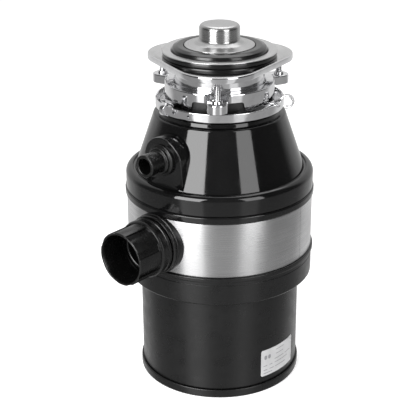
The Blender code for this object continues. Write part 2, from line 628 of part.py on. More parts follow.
def make_turntable(finishes):
    hub_bottom = 0.1920
    profile = [
        (SHAFT_RADIUS + GAP, hub_bottom), (0.0130, hub_bottom), (0.0130, TURNTABLE_TOP - 0.0024),
        (TURNTABLE_RADIUS - 0.0020, TURNTABLE_TOP - 0.0024), (TURNTABLE_RADIUS - 0.0020, 0.1965),
        (TURNTABLE_RADIUS, 0.1965), (TURNTABLE_RADIUS, TURNTABLE_TOP),
        (SHAFT_RADIUS + GAP, TURNTABLE_TOP),
    ]
    table = turned("turntable", profile, finishes["stainless"])
    for k in range(2):
        hole = turned(f"cutter_pin_{k}", disc(0.0033, 0.19, 0.21), finishes["stainless"], PIN_ROUND)
        cut(table, place(hole, polar(PIN_OFFSET, 180 * k)), "MANIFOLD")
    for k in range(8):
        drain = turned(f"cutter_drain_{k}", disc(0.0030, 0.19, 0.21), finishes["stainless"], PIN_ROUND)
        cut(table, place(drain, polar(0.0620, 45 * k + 22.5)), "MANIFOLD")
    rivet = [
        (0.0, 0.1975), (0.0052, 0.1975), (0.0052, TURNTABLE_TOP - 0.0027),
        (0.0030, TURNTABLE_TOP - 0.0027), (0.0030, 0.2084), (0.0052, 0.2084), (0.0044, 0.2100),
        (0.0, 0.2100),
    ]
    arm = outline((-0.0150, -0.0085, 0.0060), (0.0250, -0.0060), (0.0262, 0.0060), (-0.0150, 0.0085, 0.0060))
    lug = [(0.0170, -0.0066), (0.0250, -0.0060), (0.0262, 0.0060), (0.0170, 0.0068)]
    for k in range(2):
        pin_place = polar(PIN_OFFSET, 180 * k)
        place(turned(f"impeller_pin_{k + 1}", rivet, finishes["stainless"], PIN_ROUND), pin_place)
        impeller = prism(f"impeller_{k + 1}", arm, TURNTABLE_TOP + 0.0004, 0.2080, finishes["stainless"])
        place(impeller, pin_place, (0, 0, 180 * k + 40))
        nose = prism(f"impeller_nose_{k}", lug, 0.2060, 0.2145, finishes["stainless"])
        nose.parent = impeller
        join(impeller, nose, "MANIFOLD")
        hole = turned(f"cutter_impeller_{k}", disc(0.0034, 0.19, 0.22), finishes["stainless"], PIN_ROUND)
        hole.parent = impeller
        cut(impeller, hole, "MANIFOLD")
    hexagon = arc(0.0095, 0, 300, 5)
    nut = prism("turntable_nut", hexagon, TURNTABLE_TOP + GAP, 0.2085, finishes["spring_steel"])
    thread = turned("cutter_nut", disc(0.0053, 0.19, 0.22), finishes["spring_steel"], SMALL_ROUND)
    cut(nut, thread, "MANIFOLD")


# ---- Motor --------------------------------------------------------------------------------------------
def make_motor(finishes):
    bottom, top = MOTOR_STACK
    shaft = [
        (0.0, 0.0400), (0.0055, 0.0400), (SHAFT_RADIUS, 0.0410), (SHAFT_RADIUS, TURNTABLE_TOP - 0.0004),
        (0.0050, TURNTABLE_TOP - 0.0004), (0.0050, 0.2110), (0.0044, 0.2120), (0.0, 0.2120),
    ]
    turned("motor_shaft", shaft, finishes["spring_steel"], SMALL_ROUND)
    rotor_bore = SHAFT_RADIUS + GAP
    rotor = [
        (rotor_bore, bottom), (0.0180, bottom), (0.0200, bottom - 0.0060),
        (0.0300, bottom - 0.0060), (0.0310, bottom), (ROTOR_RADIUS, bottom), (ROTOR_RADIUS, top),
        (0.0310, top), (0.0300, top + 0.0060), (0.0200, top + 0.0060), (0.0180, top),
        (rotor_bore, top),
    ]
    turned("rotor_core", rotor, finishes["lamination"])
    square = rounded_box(2 * STATOR_HALF_WIDTH, 2 * STATOR_HALF_WIDTH, 0.0140, 4)
    stator = prism("stator_core", square, bottom, top, finishes["lamination"])
    cut(stator, turned("cutter_stator", disc(ROTOR_RADIUS + 0.0006, 0.05, 0.14), finishes["lamination"]))
    low, high = GAP, 0.0150
    coil = outline((0.0350, low), (0.0490, low), (0.0500, high, 0.0050), (0.0360, high, 0.0040))
    above = [(radius, top + rise) for radius, rise in coil]
    below = [(radius, bottom - rise) for radius, rise in coil]
    turned("upper_winding", above, finishes["copper"], MIDDLE_ROUND)
    turned("lower_winding", below, finishes["copper"], MIDDLE_ROUND)
    for k in range(4):
        hole = turned(f"cutter_bolt_{k}", disc(0.0025, 0.03, 0.16), finishes["lamination"], PIN_ROUND)
        cut(stator, place(hole, polar(BOLT_CIRCLE, 45 + 90 * k)))


def make_motor_frame(finishes):
    finish = finishes["cast_aluminium"]
    low = END_FRAME_BOTTOM
    profile = [
        (0.0113, low - 0.0040), (0.0150, low - 0.0040), (0.0150, low), (0.0795, low),
        (0.0795, low + 0.0040), (0.0150, low + 0.0040), (0.0150, low + 0.0080),
        (0.0113, low + 0.0080),
    ]
    frame = turned("lower_end_frame", profile, finish)
    bolt = [
        (0.0, low - 0.0045), (0.0042, low - 0.0045), (0.0042, low - 0.0006), (0.0021, low - 0.0006),
        (0.0021, CHAMBER_FLOOR - GAP), (0.0, CHAMBER_FLOOR - GAP),
    ]
    for k in range(4):
        hole = turned(f"cutter_frame_{k}", disc(0.0025, 0.03, 0.06), finish, PIN_ROUND)
        cut(frame, place(hole, polar(BOLT_CIRCLE, 45 + 90 * k)))
        vent = sector(f"cutter_vent_{k}", (0.0260, 0.0520), (0.04, 0.06), 45 + 90 * k, 22, finish, 4)
        cut(frame, vent)
        through_bolt = turned(f"through_bolt_{k + 1}", bolt, finishes["spring_steel"], PIN_ROUND)
        place(through_bolt, polar(BOLT_CIRCLE, 45 + 90 * k))
    inner = SHAFT_RADIUS + GAP
    race = ring(inner, 0.0110, low - 0.0036, low + 0.0076)
    turned("lower_bearing", race, finishes["stainless"], SMALL_ROUND)
    turned("upper_bearing", ring(inner, 0.0160, 0.1480, 0.1600), finishes["stainless"], MIDDLE_ROUND)
    seal = [
        (inner, 0.1700), (0.0160, 0.1700), (0.0160, 0.1790), (0.0120, 0.1790), (0.0080, 0.1760),
        (0.0070, 0.1800), (inner, 0.1800),
    ]
    turned("shaft_seal", seal, finishes["rubber"], MIDDLE_ROUND)


def make_electrics(finishes):
    capacitor = [
        (0.0, -0.0260), (0.0145, -0.0260), (0.0160, -0.0245), (0.0160, 0.0230), (0.0150, 0.0245),
        (0.0, 0.0245),
    ]
    part = turned("start_capacitor", capacitor, finishes["plastic_grey"], MIDDLE_ROUND)
    place(part, (-0.0300, 0.0, 0.0220), (90, 0, 0))
    grey = finishes["plastic_grey"]
    relay = prism("start_relay", rounded_box(0.0280, 0.0220, 0.0020), 0.0060, 0.0240, grey)
    place(relay, (0.0220, 0.0350, 0.0))
    box = rounded_box(0.0300, 0.0240, 0.0020)
    protector = prism("overload_protector", box, 0.0120, 0.0290, grey)
    place(protector, (*BUTTON_PLACE, 0))
    socket = turned("cutter_protector", disc(0.0040, 0.0, 0.0200), finishes["plastic_grey"], SMALL_ROUND)
    cut(protector, place(socket, (*BUTTON_PLACE, 0)))
    button = [
        (0.0, 0.0012), (0.0052, 0.0012), (0.0058, 0.0018), (0.0058, 0.0075), (0.0035, 0.0080),
        (0.0035, 0.0160), (0.0, 0.0160),
    ]
    place(turned("reset_button", button, finishes["button_red"], SMALL_ROUND), (*BUTTON_PLACE, 0))
    leads = bpy.data.curves.new("motor_leads", "CURVE")
    leads.dimensions = "3D"
    leads.bevel_depth = 0.0020
    leads.bevel_resolution = 1
    leads.use_fill_caps = True
    route = [
        (0.0350, -0.0300, 0.0294), (0.0360, -0.0300, 0.0380), (0.0330, -0.0290, 0.0450),
        (0.0300, -0.0270, 0.0530), (0.0300, -0.0260, 0.0624),
    ]
    spline = leads.splines.new("POLY")
    spline.points.add(len(route) - 1)
    for point, spot in zip(spline.points, route):
        point.co = (*spot, 1.0)
    wire = bpy.data.objects.new("motor_leads", leads)
    leads.materials.append(finishes["plastic_grey"])
    bpy.context.scene.collection.objects.link(wire)


def make_finishes():
    return {
        "polished_steel": material("polished_steel", (0.80, 0.80, 0.80), 0.10, 1.0),
        "brushed_steel": material("brushed_steel", (0.62, 0.62, 0.62), 0.28, 1.0),
        "stainless": material("stainless", (0.55, 0.55, 0.55), 0.35, 1.0),
        "spring_steel": material("spring_steel", (0.40, 0.40, 0.41), 0.35, 1.0),
        "cast_aluminium": material("cast_aluminium", (0.60, 0.60, 0.60), 0.50, 1.0),
        "lamination": material("lamination", (0.30, 0.30, 0.31), 0.45, 1.0),
        "copper": material("copper", (0.60, 0.28, 0.14), 0.35, 1.0),
        "rubber": material("rubber", (0.012, 0.012, 0.012), 0.45, 0.0),
        "plastic_gloss": material("plastic_gloss", (0.008, 0.008, 0.008), 0.15, 0.0),
        "plastic_satin": material("plastic_satin", (0.018, 0.018, 0.018), 0.38, 0.0),
        "plastic_grey": material("plastic_grey", (0.20, 0.20, 0.20), 0.45, 0.0),
        "button_red": material("button_red", (0.45, 0.02, 0.02), 0.35, 0.0),
        "label": material("label", (0.60, 0.60, 0.61), 0.40, 0.0),
    }


def main():
    clear_scene()
    finishes = make_finishes()
    make_stopper(finishes)
    make_sink_flange(finishes)
    make_backup_plate(finishes)
    make_upper_mounting_ring(finishes)
    make_mounting_screws(finishes)
    make_lower_mounting_ring(finishes)
    make_rubber_mount(finishes)
    make_upper_cover(finishes)
    make_trims(finishes)
    make_can(finishes)
    make_base(finishes)
    make_label(finishes)
    make_outlet(finishes)
    make_inlet(finishes)
    make_chamber(finishes)
    make_shredder_ring(finishes)
    make_turntable(finishes)
    make_motor(finishes)
    make_motor_frame(finishes)
    make_electrics(finishes)


main()
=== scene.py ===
import json
import math

import bmesh
import bpy
from mathutils import Matrix, Vector


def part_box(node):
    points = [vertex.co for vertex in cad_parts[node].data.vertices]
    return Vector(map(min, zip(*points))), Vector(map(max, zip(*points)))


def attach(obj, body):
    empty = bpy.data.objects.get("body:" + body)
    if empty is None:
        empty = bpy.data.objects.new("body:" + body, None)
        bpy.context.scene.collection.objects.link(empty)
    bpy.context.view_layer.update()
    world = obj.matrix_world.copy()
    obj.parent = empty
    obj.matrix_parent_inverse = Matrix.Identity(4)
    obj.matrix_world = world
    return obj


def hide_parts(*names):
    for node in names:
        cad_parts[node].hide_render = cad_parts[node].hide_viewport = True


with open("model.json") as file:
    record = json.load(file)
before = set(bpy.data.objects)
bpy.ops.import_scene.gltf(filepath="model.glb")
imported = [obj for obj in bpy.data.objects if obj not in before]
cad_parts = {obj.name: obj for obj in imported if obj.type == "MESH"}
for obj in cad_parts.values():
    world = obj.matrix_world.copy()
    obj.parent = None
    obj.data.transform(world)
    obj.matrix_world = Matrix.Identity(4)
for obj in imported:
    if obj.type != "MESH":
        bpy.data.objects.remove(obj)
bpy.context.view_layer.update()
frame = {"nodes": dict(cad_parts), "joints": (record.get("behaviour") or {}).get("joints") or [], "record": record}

# ---- Places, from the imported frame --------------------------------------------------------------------
BODY_OF = {node: body for body, nodes in frame["record"]["behaviour"]["bodies"].items() for node in nodes}
JOINTS = {joint["name"]: joint for joint in frame["joints"]}
ROUND = 160  # sides of a large turned piece
SMALL_ROUND = 48  # sides of a screw or a pin
VIEW_AZIMUTH = 40.0  # degrees, where the camera stands: 0 looks along +Y


def low(node):
    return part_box(node)[0]


def high(node):
    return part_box(node)[1]


def middle(node):
    return (low(node) + high(node)) / 2


def radius(node):
    return (high(node).x - low(node).x) / 2


def extent(node):
    """The bottom, top and radius of a node about Z."""
    return low(node).z, high(node).z, radius(node)


def forward(node):
    """How far out a node starts and ends along -Y, and its radius."""
    return -high(node).y, -low(node).y, radius(node)


SCREW_PLACES = [Vector(JOINTS[f"mounting_screw_{k}_turn"]["pos_m"]) for k in (1, 2, 3)]
SCREW_ANGLES = [math.degrees(math.atan2(p.y, p.x)) for p in SCREW_PLACES]
SCREW_CIRCLE = SCREW_PLACES[0].to_2d().length
OUTLET_HEIGHT = middle("outlet_nut").z
INLET_HEIGHT = middle("dishwasher_inlet").z
SINK_NECK = radius("snap_ring") - 0.0014  # outside of the sink flange's neck

# ---- Sizes that lie inside the frame's boxes ----------------------------------------------------------
KNOB_RADIUS = 0.0200
SINK_BORE = 0.0429
LOBE_OFFSET = 0.0370  # the backup plate is the hull of three circles
LOBE_RADIUS = 0.0404
SEAT_RADIUS = 0.0574
EAR_SHELF = 0.3112
EAR_BOTTOM = 0.3017
WINDOW_TOP = 0.3055
RING_FOOT = 0.2890
RING_OUTER = 0.0640
LUG_RADIUS = 0.0068
LUG_OFFSET = 0.0693
LUG_HEIGHT = 0.2980
CONE_BASE = 0.0855
CONE_TOP = 0.0657
BOSS_HALF = 0.0238
DRAIN_BORE = 0.0195
DRAIN_TUBE = 0.0225
HOSE_BORE = 0.0078


# ---- Shapes -------------------------------------------------------------------------------------------
def outline(*corners, steps=5):
    """A closed outline through corners (a, b), where (a, b, radius) rounds that corner with an arc."""
    points = []
    for i, corner in enumerate(corners):
        here = Vector(corner[:2])
        if len(corner) == 2:
            points.append(tuple(here))
            continue
        back = (Vector(corners[i - 1][:2]) - here).normalized()
        ahead = (Vector(corners[(i + 1) % len(corners)][:2]) - here).normalized()
        half = back.angle(ahead) / 2
        centre = here + (back + ahead).normalized() * (corner[2] / math.sin(half))
        start = here + back * (corner[2] / math.tan(half)) - centre
        end = here + ahead * (corner[2] / math.tan(half)) - centre
        turn = math.atan2(start.x * end.y - start.y * end.x, start.dot(end))
        first = math.atan2(start.y, start.x)
        for k in range(steps + 1):
            angle = first + turn * k / steps
            points.append((centre.x + corner[2] * math.cos(angle), centre.y + corner[2] * math.sin(angle)))
    return points


def arc(size, first, last, steps, centre=(0.0, 0.0)):
    angles = [math.radians(first + (last - first) * k / steps) for k in range(steps + 1)]
    return [(centre[0] + size * math.cos(a), centre[1] + size * math.sin(a)) for a in angles]


def polar(size, degrees, height=0.0):
    angle = math.radians(degrees)
    return Vector((size * math.cos(angle), size * math.sin(angle), height))


BASE_SCREW_PLACES = [polar(0.0745, 120 * k) for k in range(3)]


def to_object(name, shape, sharp=32):
    bmesh.ops.recalc_face_normals(shape, faces=shape.faces)
    mesh = bpy.data.meshes.new(name)
    shape.to_mesh(mesh)
    shape.free()
    mesh.shade_smooth()
    mesh.set_sharp_from_angle(angle=math.radians(sharp))
    made = bpy.data.objects.new(name, mesh)
    bpy.context.scene.collection.objects.link(made)
    return made


def turned(name, profile, steps=ROUND):
    """A shape turned about Z from (radius, height) points: a loop, unless both ends lie on the axis."""
    shape = bmesh.new()
    loop = [shape.verts.new((r, 0.0, z)) for r, z in profile]
    on_axis = profile[0][0] == 0.0 and profile[-1][0] == 0.0
    following = loop[1:] if on_axis else loop[1:] + loop[:1]
    edges = [shape.edges.new(pair) for pair in zip(loop, following)]
    turn = {"cent": (0, 0, 0), "axis": (0, 0, 1), "angle": math.tau, "steps": steps, "use_merge": True}
    bmesh.ops.spin(shape, geom=loop + edges, **turn)
    bmesh.ops.remove_doubles(shape, verts=shape.verts, dist=1e-7)
    return to_object(name, shape)


def rod(name, size, bottom, top, steps):
    return turned(name, [(0.0, bottom), (size, bottom), (size, top), (0.0, top)], steps)


def prism(name, points, bottom, top, edge=0.0):
    """A flat outline raised from bottom to top, with its rims rounded by edge."""
    shape = bmesh.new()
    face = shape.faces.new([shape.verts.new((x, y, bottom)) for x, y in points])
    raised = bmesh.ops.extrude_face_region(shape, geom=[face])["geom"]
    moved = [item for item in raised if isinstance(item, bmesh.types.BMVert)]
    bmesh.ops.translate(shape, verts=moved, vec=(0, 0, top - bottom))
    if edge:
        rims = [e for e in shape.edges if abs(e.verts[0].co.z - e.verts[1].co.z) < 1e-9]
        bmesh.ops.bevel(shape, geom=rims, offset=edge, segments=3, profile=0.5, affect="EDGES")
    return to_object(name, shape)


def bar(name, half_length, half_width, bottom, top):
    a, b = half_length, half_width
    return prism(name, [(-a, -b), (a, -b), (a, b), (-a, b)], bottom, top)


def sector(name, radii, heights, centre, half_angle, steps=24, edge=0.0):
    points = arc(radii[1], centre - half_angle, centre + half_angle, steps)
    points += arc(radii[0], centre + half_angle, centre - half_angle, steps)
    return prism(name, points, *heights, edge=edge)


def stamped(name, plan, section, thickness):
    """Sheet metal: section(point, outward) gives its line at each point of a closed plan outline."""
    shape = bmesh.new()
    rows = []
    count = len(plan)
    for k, here in enumerate(plan):
        along = Vector(plan[(k + 1) % count]) - Vector(plan[k - 1])
        outward = Vector((along.y, -along.x)).normalized()
        rows.append([shape.verts.new(p) for p in section(Vector(here), outward)])
    for k in range(count):
        a, b = rows[k], rows[(k + 1) % count]
        for i in range(len(a) - 1):
            shape.faces.new((a[i], b[i], b[i + 1], a[i + 1]))
    made = to_object(name, shape, 40)
    solid = made.modifiers.new("sheet", "SOLIDIFY")
    solid.thickness = thickness
    solid.offset = -1.0
    solid.use_even_offset = True
    return made


def stand(obj, location=(0.0, 0.0, 0.0), rotation=(0.0, 0.0, 0.0)):
    """Moves the shape itself, so that the object stays at the origin."""
    turn = Matrix.LocRotScale(Vector(location), None, None)
    for angle, axis in zip(rotation, "XYZ"):
        turn = turn @ Matrix.Rotation(math.radians(angle), 4, axis)
    obj.data.transform(turn)
    return obj


def along_outlet(obj, height):
    """Turns a piece made about Z so that its +Z points along -Y, at a height."""
    return stand(obj, (0.0, 0.0, height), (90.0, 0.0, 0.0))


def settle(obj, sharp=32):
    """Applies the modifiers, so that the mesh holds the final shape."""
    graph = bpy.context.evaluated_depsgraph_get()
    mesh = bpy.data.meshes.new_from_object(obj.evaluated_get(graph))
    obj.modifiers.clear()
    obj.data = mesh
    mesh.shade_smooth()
    mesh.set_sharp_from_angle(angle=math.radians(sharp))
    return obj


def combine(target, operation, *tools):
    for tool in tools:
        step = target.modifiers.new(operation.lower(), "BOOLEAN")
        step.operation = operation
        step.object = tool
        step.solver = "MANIFOLD"
    settle(target)
    for tool in tools:
        bpy.data.objects.remove(tool)
    return target


def cut(target, *tools):
    return combine(target, "DIFFERENCE", *tools)


def join(target, *tools):
    return combine(target, "UNION", *tools)


def dress(obj, finish, *nodes, body=None):
    """Gives a piece its material and its CAD body, and hides the CAD nodes that it stands for."""
    obj.data.materials.clear()
    obj.data.materials.append(FINISHES[finish][0])
    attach(obj, body or BODY_OF[nodes[0]])
    if nodes:
        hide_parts(*nodes)
    return obj


def second_finish(obj, finish, chosen):
    """Gives the faces that chosen(face) picks another material."""
    obj.data.materials.append(FINISHES[finish][0])
    for face in obj.data.polygons:
        if chosen(face):
            face.material_index = 1
    return obj


# ---- Materials ----------------------------------------------------------------------------------------
class Finish:
    """A node material with a few named steps."""

    def __init__(self, name, colour, roughness, metallic, **settings):
        self.material = bpy.data.materials.new(name)
        self.material.use_nodes = True
        self.nodes = self.material.node_tree.nodes
        self.links = self.material.node_tree.links
        self.shader = self.nodes["Principled BSDF"]
        self.shader.inputs["Metallic"].default_value = metallic
        for key, value in settings.items():
            self.shader.inputs[key.replace("_", " ").title().replace("Ior", "IOR")].default_value = value
        self.coordinates = self.nodes.new("ShaderNodeTexCoord").outputs["Object"]
        self.colour = colour
        self.roughness = roughness

    def add(self, kind, sockets=(), **properties):
        node = self.nodes.new(kind)
        for key, value in properties.items():
            setattr(node, key, value)
        for key, value in dict(sockets).items():
            if isinstance(value, bpy.types.NodeSocket):
                self.links.new(value, node.inputs[key])
            else:
                node.inputs[key].default_value = value
        return node

    def noise(self, scale, stretch=(1, 1, 1), detail=3.0, rough=0.5):
        mapped = self.add("ShaderNodeMapping", {"Vector": self.coordinates, "Scale": stretch}).outputs[0]
        return self.add(
            "ShaderNodeTexNoise", {"Vector": mapped, "Scale": scale, "Detail": detail, "Roughness": rough}
        ).outputs["Fac"]

    def rings(self, scale, wobble=0.0):
        """Noise that changes with the distance from the Z axis, as turned or spun metal has."""
        level = {0: self.coordinates, 1: (1, 1, 0)}
        flat = self.add("ShaderNodeVectorMath", level, operation="MULTIPLY").outputs[0]
        reach = self.add("ShaderNodeVectorMath", {0: flat}, operation="LENGTH").outputs["Value"]
        slow = self.add("ShaderNodeVectorMath", {0: flat, "Scale": wobble}, operation="SCALE").outputs[0]
        line = self.add("ShaderNodeCombineXYZ", {"X": reach}).outputs[0]
        spread = self.add("ShaderNodeVectorMath", {0: line, 1: slow}, operation="ADD").outputs[0]
        values = {"Vector": spread, "Scale": scale, "Detail": 4.0}
        return self.add("ShaderNodeTexNoise", values).outputs["Fac"]

    def remap(self, value, first, last, start=0.35, end=0.65):
        return self.add(
            "ShaderNodeMapRange",
            {"Value": value, "From Min": start, "From Max": end, "To Min": first, "To Max": last},
        ).outputs[0]

    def edges(self, strength):
        """1 on worn convex edges, 0 elsewhere."""
        point = self.add("ShaderNodeNewGeometry").outputs["Pointiness"]
        return self.remap(point, 0.0, strength, 0.52, 0.60)

    def tint(self, factor, colour):
        """Mixes another colour into the base by a factor socket."""
        base = self.colour
        node = self.add("ShaderNodeMix", {"Factor": factor}, data_type="RGBA")
        if isinstance(base, bpy.types.NodeSocket):
            self.links.new(base, node.inputs[6])
        else:
            node.inputs[6].default_value = (*base, 1.0)
        node.inputs[7].default_value = (*colour, 1.0)
        self.colour = node.outputs[2]

    def bump(self, height, distance, strength=1.0):
        values = {"Height": height, "Distance": distance, "Strength": strength}
        if self.shader.inputs["Normal"].is_linked:
            values["Normal"] = self.shader.inputs["Normal"].links[0].from_socket
        node = self.add("ShaderNodeBump", values)
        self.links.new(node.outputs[0], self.shader.inputs["Normal"])

    def done(self):
        if isinstance(self.colour, bpy.types.NodeSocket):
            self.links.new(self.colour, self.shader.inputs["Base Color"])
        else:
            self.shader.inputs["Base Color"].default_value = (*self.colour, 1.0)
        if isinstance(self.roughness, bpy.types.NodeSocket):
            self.links.new(self.roughness, self.shader.inputs["Roughness"])
        else:
            self.shader.inputs["Roughness"].default_value = self.roughness
        return self.material


def moulded(name, colour, roughness, grain, depth, spread=0.05):
    """Moulded plastic or rubber: fine grain, slight unevenness of colour and gloss."""
    made = Finish(name, colour, roughness, 0.0)
    cloud = made.noise(38.0, detail=5.0)
    fine = made.noise(grain, detail=2.0)
    made.tint(made.remap(cloud, 0.0, 0.4), [min(1.0, c * 1.5 + 0.0008) for c in colour])
    made.roughness = made.remap(made.noise(90.0, detail=4.0), roughness - spread, roughness + spread)
    made.bump(fine, depth, 0.6)
    return made.done()


def brushed(name, colour, roughness, stretch, depth, cloud=0.12, scale=1.0):
    """Brushed steel: streaks along the short axes of stretch, soft clouds, a few fine scratches."""
    made = Finish(name, colour, roughness, 1.0)
    streak = made.noise(scale, stretch, detail=6.0, rough=0.7)
    soft = made.noise(22.0, detail=4.0)
    made.tint(made.remap(streak, 0.0, 0.55), [c * 0.72 for c in colour])
    made.tint(made.remap(soft, 0.0, cloud), [c * 0.55 for c in colour])
    rough = made.remap(streak, roughness - 0.06, roughness + 0.08)
    patchy = {0: rough, 1: made.remap(soft, -0.03, 0.05)}
    made.roughness = made.add("ShaderNodeMath", patchy, operation="ADD").outputs[0]
    made.bump(streak, depth, 0.5)
    made.shader.inputs["Anisotropic"].default_value = 0.85
    made.shader.inputs["Anisotropic Rotation"].default_value = 0.25
    along = made.add("ShaderNodeTangent", direction_type="RADIAL", axis="Z").outputs[0]
    made.links.new(along, made.shader.inputs["Tangent"])
    return made.done()


def polished(name, colour, roughness, dent=0.00030):
    """Polished stamped steel: slightly wavy, with hairline scratches and darker smears."""
    made = Finish(name, colour, roughness, 1.0)
    wave = made.noise(78.0, (1, 1, 1.6), detail=1.5)
    hair = made.noise(1.0, (60, 60, 2600), detail=5.0, rough=0.7)
    smear = made.noise(120.0, detail=5.0)
    made.tint(made.remap(smear, 0.0, 0.35, 0.45, 0.75), [c * 0.68 for c in colour])
    made.roughness = made.remap(smear, roughness - 0.03, roughness + 0.07)
    made.bump(wave, dent, 0.7)
    made.bump(hair, 8e-6, 0.4)
    return made.done()


def spun(name, colour, roughness):
    """Steel turned about Z, with concentric brushing."""
    made = Finish(name, colour, roughness, 1.0)
    ring = made.rings(2600.0, 0.01)
    cloud = made.noise(60.0, detail=4.0)
    made.tint(made.remap(ring, 0.0, 0.5), [c * 0.78 for c in colour])
    made.tint(made.remap(cloud, 0.0, 0.25), [c * 0.7 for c in colour])
    made.roughness = made.remap(ring, roughness - 0.05, roughness + 0.07)
    made.bump(ring, 1.2e-5, 0.5)
    return made.done()


def cast(name, colour, roughness):
    made = Finish(name, colour, roughness, 1.0)
    grit = made.noise(1400.0, detail=6.0, rough=0.7)
    cloud = made.noise(70.0, detail=5.0)
    made.tint(made.remap(cloud, 0.0, 0.6), [c * 0.6 for c in colour])
    made.tint(made.edges(0.5), [min(1.0, c * 1.4) for c in colour])
    made.roughness = made.remap(grit, roughness - 0.1, roughness + 0.12)
    made.bump(grit, 0.00009, 0.7)
    return made.done()


def banded(name, colour, roughness, metallic, pitch, depth):
    """Thin layers or wires side by side: laminations and windings."""
    made = Finish(name, colour, roughness, metallic)
    values = {"Vector": made.coordinates, "Scale": math.tau / pitch / 20, "Distortion": 0.4}
    wave = made.add("ShaderNodeTexWave", values, bands_direction="Z").outputs["Fac"]
    cloud = made.noise(80.0, detail=4.0)
    made.tint(made.remap(wave, 0.5, 0.0, 0.0, 0.5), [c * 0.35 for c in colour])
    made.tint(made.remap(cloud, 0.0, 0.3), [min(1.0, c * 1.5) for c in colour])
    made.roughness = made.remap(cloud, roughness - 0.06, roughness + 0.08)
    made.bump(wave, depth, 0.8)
    return made.done()


BLACK = (0.0025, 0.0025, 0.0026)
FITTING_BLACK = (0.0022, 0.0022, 0.0022)
FINISHES = {
    "knob": (brushed("knob_steel", (0.47, 0.47, 0.47), 0.26, (25, 25, 2200), 3e-6, 0.15), "brushed_steel"),
    "spun": (spun("spun_steel", (0.50, 0.50, 0.50), 0.33), "brushed_steel"),
    "band": (brushed("band_steel", (0.66, 0.66, 0.665), 0.28, (7, 7, 1500), 2e-6, 0.30), "brushed_steel"),
    "plate": (spun("plate_steel", (0.58, 0.58, 0.58), 0.34), "polished_steel"),
    "chrome": (polished("stamped_chrome", (0.74, 0.74, 0.75), 0.08), "polished_steel"),
    "zinc": (polished("zinc_screw", (0.78, 0.78, 0.79), 0.14, 3e-5), "polished_steel"),
    "wire": (polished("spring_wire", (0.42, 0.42, 0.43), 0.30, 3e-5), "spring_steel"),
    "stainless": (spun("stainless_cast", (0.50, 0.50, 0.50), 0.34), "stainless"),
    "aluminium": (cast("cast_aluminium_skin", (0.58, 0.58, 0.59), 0.48), "cast_aluminium"),
    "lamination": (banded("lamination_stack", (0.26, 0.26, 0.27), 0.42, 1.0, 1e-3, 1e-4), "lamination"),
    "copper": (banded("enamelled_wire", (0.52, 0.22, 0.09), 0.32, 0.8, 1.2e-3, 2e-4), "copper"),
    "rubber": (moulded("black_rubber", (0.004, 0.004, 0.004), 0.36, 900.0, 3e-5), "rubber"),
    "gasket": (moulded("gasket_rubber", (0.003, 0.003, 0.003), 0.20, 600.0, 2e-5), "rubber"),
    "gloss": (moulded("gloss_black_plastic", BLACK, 0.075, 260.0, 6e-6, 0.025), "plastic_gloss"),
    "satin": (moulded("satin_black_plastic", (0.003, 0.003, 0.0031), 0.30, 1500.0, 2e-5), "plastic_satin"),
    "can": (moulded("can_black_paint", (0.0028, 0.0028, 0.0029), 0.31, 900.0, 2e-5), "plastic_satin"),
    "fitting": (moulded("fitting_black_plastic", FITTING_BLACK, 0.26, 700.0, 2e-5), "plastic_satin"),
    "grey": (moulded("grey_plastic", (0.18, 0.18, 0.18), 0.45, 1200.0, 3e-5), "plastic_grey"),
    "red": (moulded("red_plastic", (0.42, 0.02, 0.02), 0.32, 1200.0, 2e-5), "button_red"),
    "label": (moulded("label_film", (0.42, 0.42, 0.425), 0.38, 500.0, 8e-6), "label"),
    "ink": (moulded("label_ink", (0.20, 0.20, 0.21), 0.5, 900.0, 5e-6), "label"),
}


# ---- Stopper ------------------------------------------------------------------------------------------
def make_stopper():
    base, top, rim = extent("stopper_cap")
    knob, wall = KNOB_RADIUS, 0.0011
    shoulder = base + 0.0062
    dome = [(0.0, top)] + [(knob * k / 8, top - 0.0018 * (k / 8) ** 2) for k in range(1, 6)]
    outside = outline(
        *dome, (knob, top - 0.0014, 0.0042), (knob, shoulder, 0.0026),
        (knob + 0.0052, base + 0.0030, 0.0060), (rim - 0.0040, base + 0.0016),
        (rim, base + wall, 0.0005), (rim, base, 0.0004), (rim - 0.004, base + 0.0004),
        (knob - wall, shoulder - wall), (knob - wall, top - 0.0032), (0.0, top - 0.0024), steps=6,
    )
    cap = dress(turned("stopper_cap_detail", outside), "knob", "stopper_cap")
    second_finish(cap, "spun", lambda face: face.normal.z > 0.55)

    lowest, highest, outer = extent("stopper_seal")
    inner = rim + 0.0006
    seal = outline(
        (inner, lowest, 0.0003), (0.0424, lowest, 0.0004), (0.0446, lowest + 0.0034),
        (outer - 0.0002, lowest + 0.0050), (outer, lowest + 0.0062, 0.0006),
        (outer - 0.0004, lowest + 0.0090, 0.0018), (outer - 0.0050, highest, 0.0022),
        (inner, highest, 0.0011), steps=6,
    )
    dress(turned("stopper_seal_detail", seal), "gasket", "stopper_seal")

    bottom, head, reach = extent("stopper_plug")
    plug = outline(
        (0.0, head), (0.0100, head, 0.0004), (0.0110, base - 0.0010), (reach, base - 0.0010, 0.0004),
        (reach, base - 0.0056, 0.0004), (0.0320, base - 0.0066), (0.0320, bottom, 0.0006),
        (0.0295, bottom, 0.0006), (0.0295, base - 0.0076, 0.0010), (0.0, base - 0.0076),
    )
    dress(turned("stopper_plug_detail", plug), "satin", "stopper_plug")


